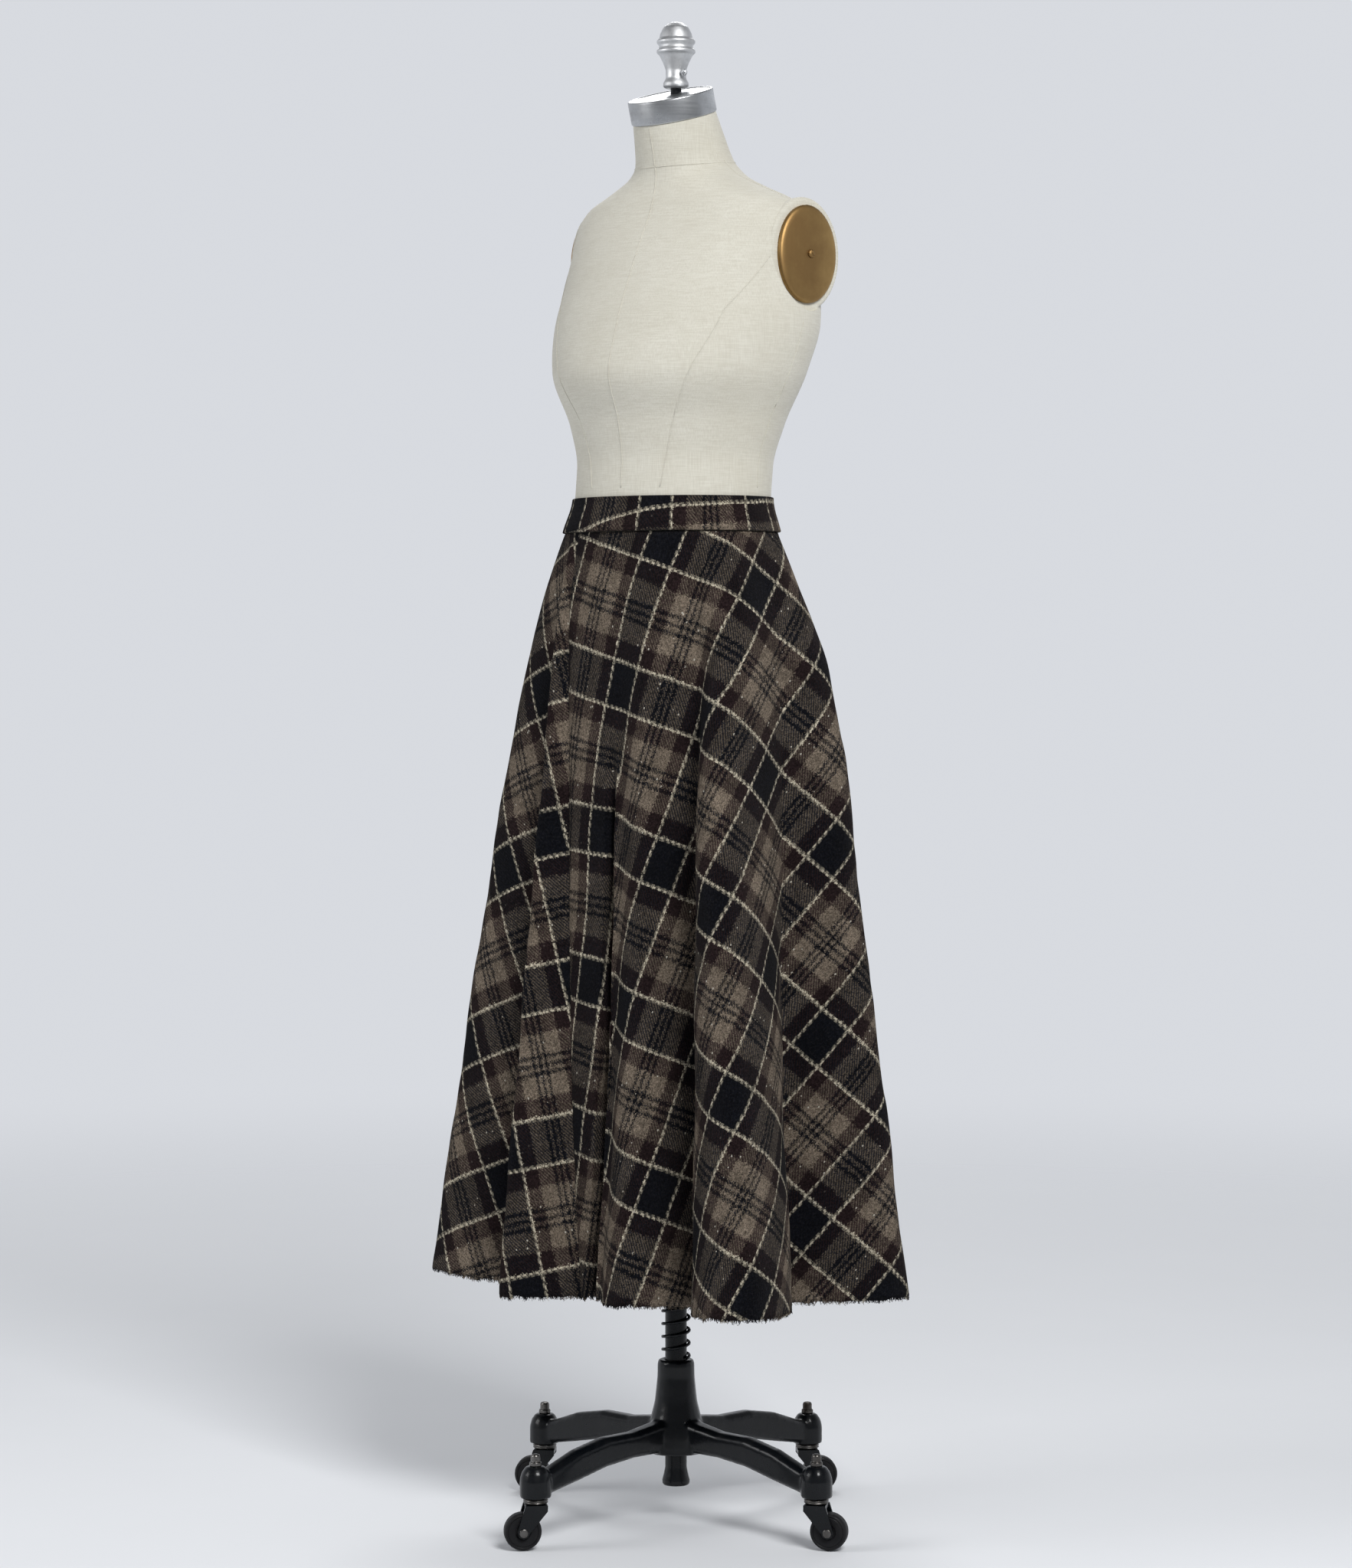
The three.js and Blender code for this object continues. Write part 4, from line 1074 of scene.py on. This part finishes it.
def make_arm_plates():
    crown = PLATE_THICK + PLATE_CROWN
    profile = [(0, 0), (1, 0), (1, PLATE_THICK - 2)]
    profile += [(0.985, PLATE_THICK - 1), (0.96, PLATE_THICK - 0.1)]
    for share in np.linspace(0.92, 0.1, 12):
        profile.append((share, PLATE_THICK + PLATE_CROWN * cos(share * pi / 2) ** 0.8))
    profile.append((0, crown))
    oval = (ARM.half_height - PLATE_INSET, ARM.half_depth - PLATE_INSET)
    for side, name in ((1, "left"), (-1, "right")):
        place = arm_matrix(side) @ mm_matrix(0, 0, SEAM_GAP)
        plate = turned_mesh(f"arm_plate_{name}", profile, 96, place, scale=oval)
        finish_piece(plate, "form", "brass", BRASS, f"arm_plate_{name}")
        head = [(0, 0), (4.5, 0), (4.5, 1.2), (3.8, 2.2), (2.4, 2.9), (0, 3.2)]
        seat = arm_matrix(side) @ mm_matrix(0, 0, crown + 2 * SEAM_GAP)
        screw = turned_mesh(f"arm_screw_{name}", rounded(head, 0.4), 48, seat)
        slot = box_mesh("slot", (10, 1, 2), seat @ mm_matrix(0, 0, 3.1, (35, "Z")))
        cut_or_join(screw, slot, "DIFFERENCE")
        finish_piece(screw, "form", "brass", BRASS, f"arm_screw_{name}")


def box_mesh(name, size, matrix):
    """A small block for cutting a slot."""
    x, y, z = (np.array(size) / 2).tolist()
    corners = [(i * x, j * y, k * z) for i in (-1, 1) for j in (-1, 1) for k in (-1, 1)]
    faces = [(0, 1, 3, 2), (4, 6, 7, 5), (0, 4, 5, 1), (2, 3, 7, 6), (0, 2, 6, 4), (1, 5, 7, 3)]
    obj = make_mesh(name, corners, faces, sharp=30)
    obj.data.transform(matrix)
    return obj


def make_neck_top():
    top = FORM_SECTIONS[-1]
    place = mm_matrix(0, top.shift, top.z, (top.tilt, "X"))
    inner = CAP_RADIUS - CAP_RIM - 1
    profile = [
        (0, SEAM_GAP), (CAP_RADIUS - 0.8, SEAM_GAP), (CAP_RADIUS, SEAM_GAP + 0.8),
        (CAP_RADIUS, CAP_HEIGHT - 1.2), (CAP_RADIUS - 1, CAP_HEIGHT), (CAP_RADIUS - CAP_RIM, CAP_HEIGHT),
        (inner, CAP_HEIGHT - 1), (10, CAP_HEIGHT - 1), (9.4, CAP_HEIGHT - 0.9), (0, CAP_HEIGHT - 0.9),
    ]
    turned_piece("neck_cap", profile, 0.9, 112, place, "form", "aluminium", TURNED_ALUMINIUM)
    turned_finial = [
        (0, 0), (11, 0), (14.2, 2), (14, 6), (11.2, 11), (11.2, 20), (14.2, 28), (18.4, 36.5),
        (21.4, 39), (21.4, 41.5), (18.8, 43.5), (18.5, 47), (21.2, 49.5), (21.2, 52), (18.4, 54.5),
        (17.4, 59.5), (14, 66.5), (7, 71.7), (0, 73),
    ]
    foot = mm_matrix(0, 0, FINIAL_FOOT_Z)
    turned_piece("finial", turned_finial, 1.6, 96, foot, "form", "aluminium", CAST_ALUMINIUM)
    head = [(0, 0), (1.6, 0), (1.6, 3), (3.6, 3.2), (3.6, 6), (2.8, 6.8), (0, 6.8)]
    seat = mm_matrix(*spot(FINIAL_SCREW_AZIMUTH, 11.6, FINIAL_FOOT_Z + 16))
    seat = seat @ mm_matrix(0, 0, 0, (FINIAL_SCREW_AZIMUTH - 90, "Z"), (90, "Y"))
    screw = turned_mesh("finial_screw", rounded(head, 0.3), 40, seat)
    cut_or_join(screw, box_mesh("slot", (9, 0.9, 2), seat @ mm_matrix(0, 0, 7)), "DIFFERENCE")
    finish_piece(screw, "form", "aluminium", TURNED_ALUMINIUM, "finial_screw")


# Stand


POLE_FOOT = [(0, 0), (14, 0), (15.2, 2), (15.2, 6), (13.5, 12), (POLE_RADIUS, 20)]
FLANGE_RADIUS = 40
COLLAR_RADIUS = 19
COIL_STEPS = 40


def make_pole():
    top = FORM_SECTIONS[0].z - SEAM_GAP
    profile = [(radius, POLE_FOOT_Z + height) for radius, height in POLE_FOOT]
    profile += [(POLE_RADIUS, top - 8), (FLANGE_RADIUS, top - 6), (FLANGE_RADIUS, top), (0, top)]
    turned_piece("pole", profile, 1.5, 64, None, "form", "black_steel", BLACK_STEEL)


def make_spring():
    low = HUB_TOP + SEAM_GAP + SPRING_WIRE
    count = SPRING_TURNS * COIL_STEPS + 1
    turn = np.arange(count) * 2 * pi / COIL_STEPS
    height = low + np.arange(count) / COIL_STEPS * SPRING_PITCH
    path = np.stack([SPRING_RADIUS * np.cos(turn), SPRING_RADIUS * np.sin(turn), height], 1)
    spring = make_mesh("spring", *tube(path, SPRING_WIRE, 10))
    finish_piece(spring, "stand", "black_steel", BLACK_STEEL, "spring")
    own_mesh(spring)
    collar_foot = low + SPRING_TURNS * SPRING_PITCH + SPRING_WIRE + SEAM_GAP
    bore, rim, top = POLE_RADIUS + SEAM_GAP, COLLAR_RADIUS, collar_foot + COLLAR_HEIGHT
    ring = [(bore, collar_foot), (rim, collar_foot), (rim, top), (bore, top), (bore, collar_foot)]
    turned_piece("spring_collar", ring, 1.2, 64, None, "form", "black_steel", BLACK_STEEL)


CAST_VOXEL = 1.7


def make_base():
    """The casting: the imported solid, remeshed and eased so that its legs run into the hub in fillets."""
    obj = placed("stand_casting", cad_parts["stand_base"].data.copy())
    grain = obj.modifiers.new("grain", "REMESH")
    grain.mode = "VOXEL"
    grain.voxel_size = CAST_VOXEL * MM
    ease = obj.modifiers.new("ease", "SMOOTH")
    ease.factor = 0.5
    ease.iterations = 10
    applied(obj)
    obj.data.shade_smooth()
    finish_piece(obj, "stand", "cast_iron", CAST_IRON, "stand_base")


WHEEL_FACE = [
    (3.4, 2), (7.6, 2), (8.4, 1), (15.5, 0.2), (16.2, 0.9), (17, 0), (19, 0.8), (WHEEL_RADIUS, 4),
]
WHEEL_HEIGHT = SOLID_WHEEL_RADIUS * cos(pi / SOLID_WHEEL_SIDES)
STUD = [(0, 0), (6.6, 0), (6.6, 3.5), (5.2, 4.5), (5.2, 10), (4.4, 11.8), (2.4, 12.5), (0, 12.6)]
RACE = [
    (0, FORK_TOP + SEAM_GAP), (11, FORK_TOP + SEAM_GAP), (13.6, FORK_TOP + 2), (12.6, FORK_TOP + 3.1),
    (13.6, FORK_TOP + 4.2), (12.2, SOCKET_LOW - SEAM_GAP), (0, SOCKET_LOW - SEAM_GAP),
]
AXLE_HEAD = 4.6


def make_casters():
    tread = mirrored_profile([(radius, WHEEL_WIDTH / 2 - sunk) for radius, sunk in WHEEL_FACE])
    tread.append(tread[0])
    neck, tip = FORK_OUTER + SEAM_GAP, FORK_OUTER + 2
    head = [(0, tip), (3.6, tip), (AXLE_HEAD, tip - 0.5), (AXLE_HEAD, neck), (AXLE_RADIUS, neck)]
    axle = mirrored_profile(head)
    for leg, (corner, trail) in enumerate(CASTER_TRAILS.items()):
        foot = radians(BASE_TURN + 45 + 90 * leg - 90)
        x, y = LEG_REACH * cos(foot), LEG_REACH * sin(foot)
        socket = mm_matrix(x, y, SOCKET_HIGH + SEAM_GAP)
        swivel = mm_matrix(x, y, 0, (trail - 90, "Z"))
        hub = swivel @ mm_matrix(WHEEL_TRAIL, 0, WHEEL_HEIGHT, (90, "X"))
        caster = f"caster_{corner}"
        turned_piece(f"stud_{corner}", STUD, 0.5, 40, socket, "stand", "bright_steel", DARK_STEEL)
        turned_piece(f"race_{corner}", RACE, 0.5, 48, swivel, caster, "black_steel", DARK_STEEL)
        turned_piece(f"wheel_{corner}", tread, 0.8, 72, hub, f"roller_{corner}", "wheel", TYRE)
        turned_piece(f"axle_{corner}", axle, 0.4, 40, hub, caster, "bright_steel", DARK_STEEL)
        finish_node(f"fork_{corner}", BLACK_STEEL, 0.5)


def finish_node(name, material, edge):
    """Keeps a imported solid, with its material and softened edges."""
    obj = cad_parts[name]
    obj.data.materials.clear()
    obj.data.materials.append(material)
    soft = obj.modifiers.new("edges", "BEVEL")
    soft.width = edge * MM
    soft.segments = 2
    soft.limit_method = "ANGLE"
    soft.angle_limit = radians(40)
    soft.harden_normals = False


# Camera, light and floor

CAMERA_AZIMUTH = 38
CAMERA_AWAY = 4.417
CAMERA_HEIGHT = 0.957
CAMERA_TILT = 1.82
CAMERA_LENS = 91.9
CAMERA_SENSOR = 36


def make_camera():
    data = bpy.data.cameras.new("camera")
    data.lens = CAMERA_LENS
    data.sensor_width = CAMERA_SENSOR
    camera = placed("camera", data)
    camera.location = spot(CAMERA_AZIMUTH, CAMERA_AWAY, CAMERA_HEIGHT)
    camera.rotation_euler = (radians(90 - CAMERA_TILT), 0, radians(CAMERA_AZIMUTH))
    bpy.context.scene.camera = camera


def make_light(name, azimuth, distance, height, size, power, aim):
    data = bpy.data.lights.new(name, "AREA")
    data.shape = "RECTANGLE"
    data.size, data.size_y = size
    data.energy = power
    light = placed(name, data)
    light.location = spot(azimuth, distance, height)
    light.rotation_euler = (Vector((0, 0, aim)) - light.location).to_track_quat("-Z", "Y").to_euler()


FLOOR_RADII = (7000, 3000, 1500, 0)
FLOOR_DROP = 0.0005
FLOOR_FADE = (0.7, 4.5)
FLOOR_COLOUR = (0.78, 0.795, 0.82)
WALL_COLOUR = (0.685, 0.705, 0.745)
CEILING_SHARE = 0.3
WALL_TOP = (0.25, 0.75)
ROOM_SHARE = 0.4
ROOM_REACH = (-0.3, 0.6)


def make_floor():
    floor = turned_mesh("floor", [(radius, 0) for radius in FLOOR_RADII], 64)
    floor.location.z = -FLOOR_DROP
    graph = Graph("floor_paper")
    fleck = graph.noise(graph.place(), 3.0, 4.0)
    tint = graph.mix(graph.spread(fleck, 0.3, 0.7), FLOOR_COLOUR, tuple(0.985 * c for c in FLOOR_COLOUR))
    graph.set(Base_Color=tint, Roughness=0.9, Specular_IOR_Level=0.1)
    away = graph.add("ShaderNodeVectorMath", {0: graph.place()}, operation="LENGTH").outputs["Value"]
    fade = graph.spread(away, *FLOOR_FADE, kind="SMOOTHSTEP")
    clear = graph.add("ShaderNodeBsdfTransparent").outputs[0]
    blend = graph.add("ShaderNodeMixShader", {0: fade, 1: graph.shader.outputs[0], 2: clear})
    graph.links.new(blend.outputs[0], graph.nodes["Material Output"].inputs[0])
    floor.data.materials.append(graph.material)


def make_world():
    """A pale studio wall, darker towards the ceiling and on the camera's side of the room."""
    world = bpy.data.worlds.new("studio")
    graph = Graph("", world)
    ray = graph.add("ShaderNodeTexCoord").outputs["Generated"]

    def share_along(direction, reach, end_share):
        along = graph.add("ShaderNodeVectorMath", {0: ray, 1: direction}, operation="DOT_PRODUCT")
        return graph.spread(along.outputs["Value"], *reach, 1.0, end_share, kind="SMOOTHSTEP")

    ceiling = share_along((0, 0, 1), WALL_TOP, CEILING_SHARE)
    room = share_along(spot(CAMERA_AZIMUTH, 1, 0), ROOM_REACH, ROOM_SHARE)
    graph.set(Color=(*WALL_COLOUR, 1), Strength=graph.times(ceiling, room))
    bpy.context.scene.world = world
    bpy.context.scene.view_settings.view_transform = "Standard"


make_camera()
make_world()
make_floor()
make_light("key", azimuth=60, distance=3.2, height=3.15, size=(1.4, 1.5), power=140, aim=1.0)
make_light("fill", azimuth=-35, distance=3.4, height=1.9, size=(1.6, 1.8), power=42, aim=0.8)
make_light("back", azimuth=215, distance=2.8, height=3.6, size=(1.8, 1.4), power=48, aim=0.9)

rng = np.random.default_rng(SEED)
left, left_fray = make_panel("skirt_panel_left", LEFT_FOLDS, BACK_SEAM, 0, WARP_LINE_LEFT, 0, False, rng)
right, right_fray = make_panel(
    "skirt_panel_right", RIGHT_FOLDS, FRONT_SEAM, 2 * pi, WARP_LINE_RIGHT, WEFT_SLIP_RIGHT, True, rng
)
band = make_waistband()
make_torso()
make_form_seams()
make_arm_plates()
make_neck_top()
finish_node("finial_rod", BLACK_STEEL, 0.3)
finish_node("zip_slider", ZIP_METAL, 0.25)
finish_node("zip_pull", ZIP_METAL, 0.25)
make_pole()
make_spring()
make_base()
make_casters()
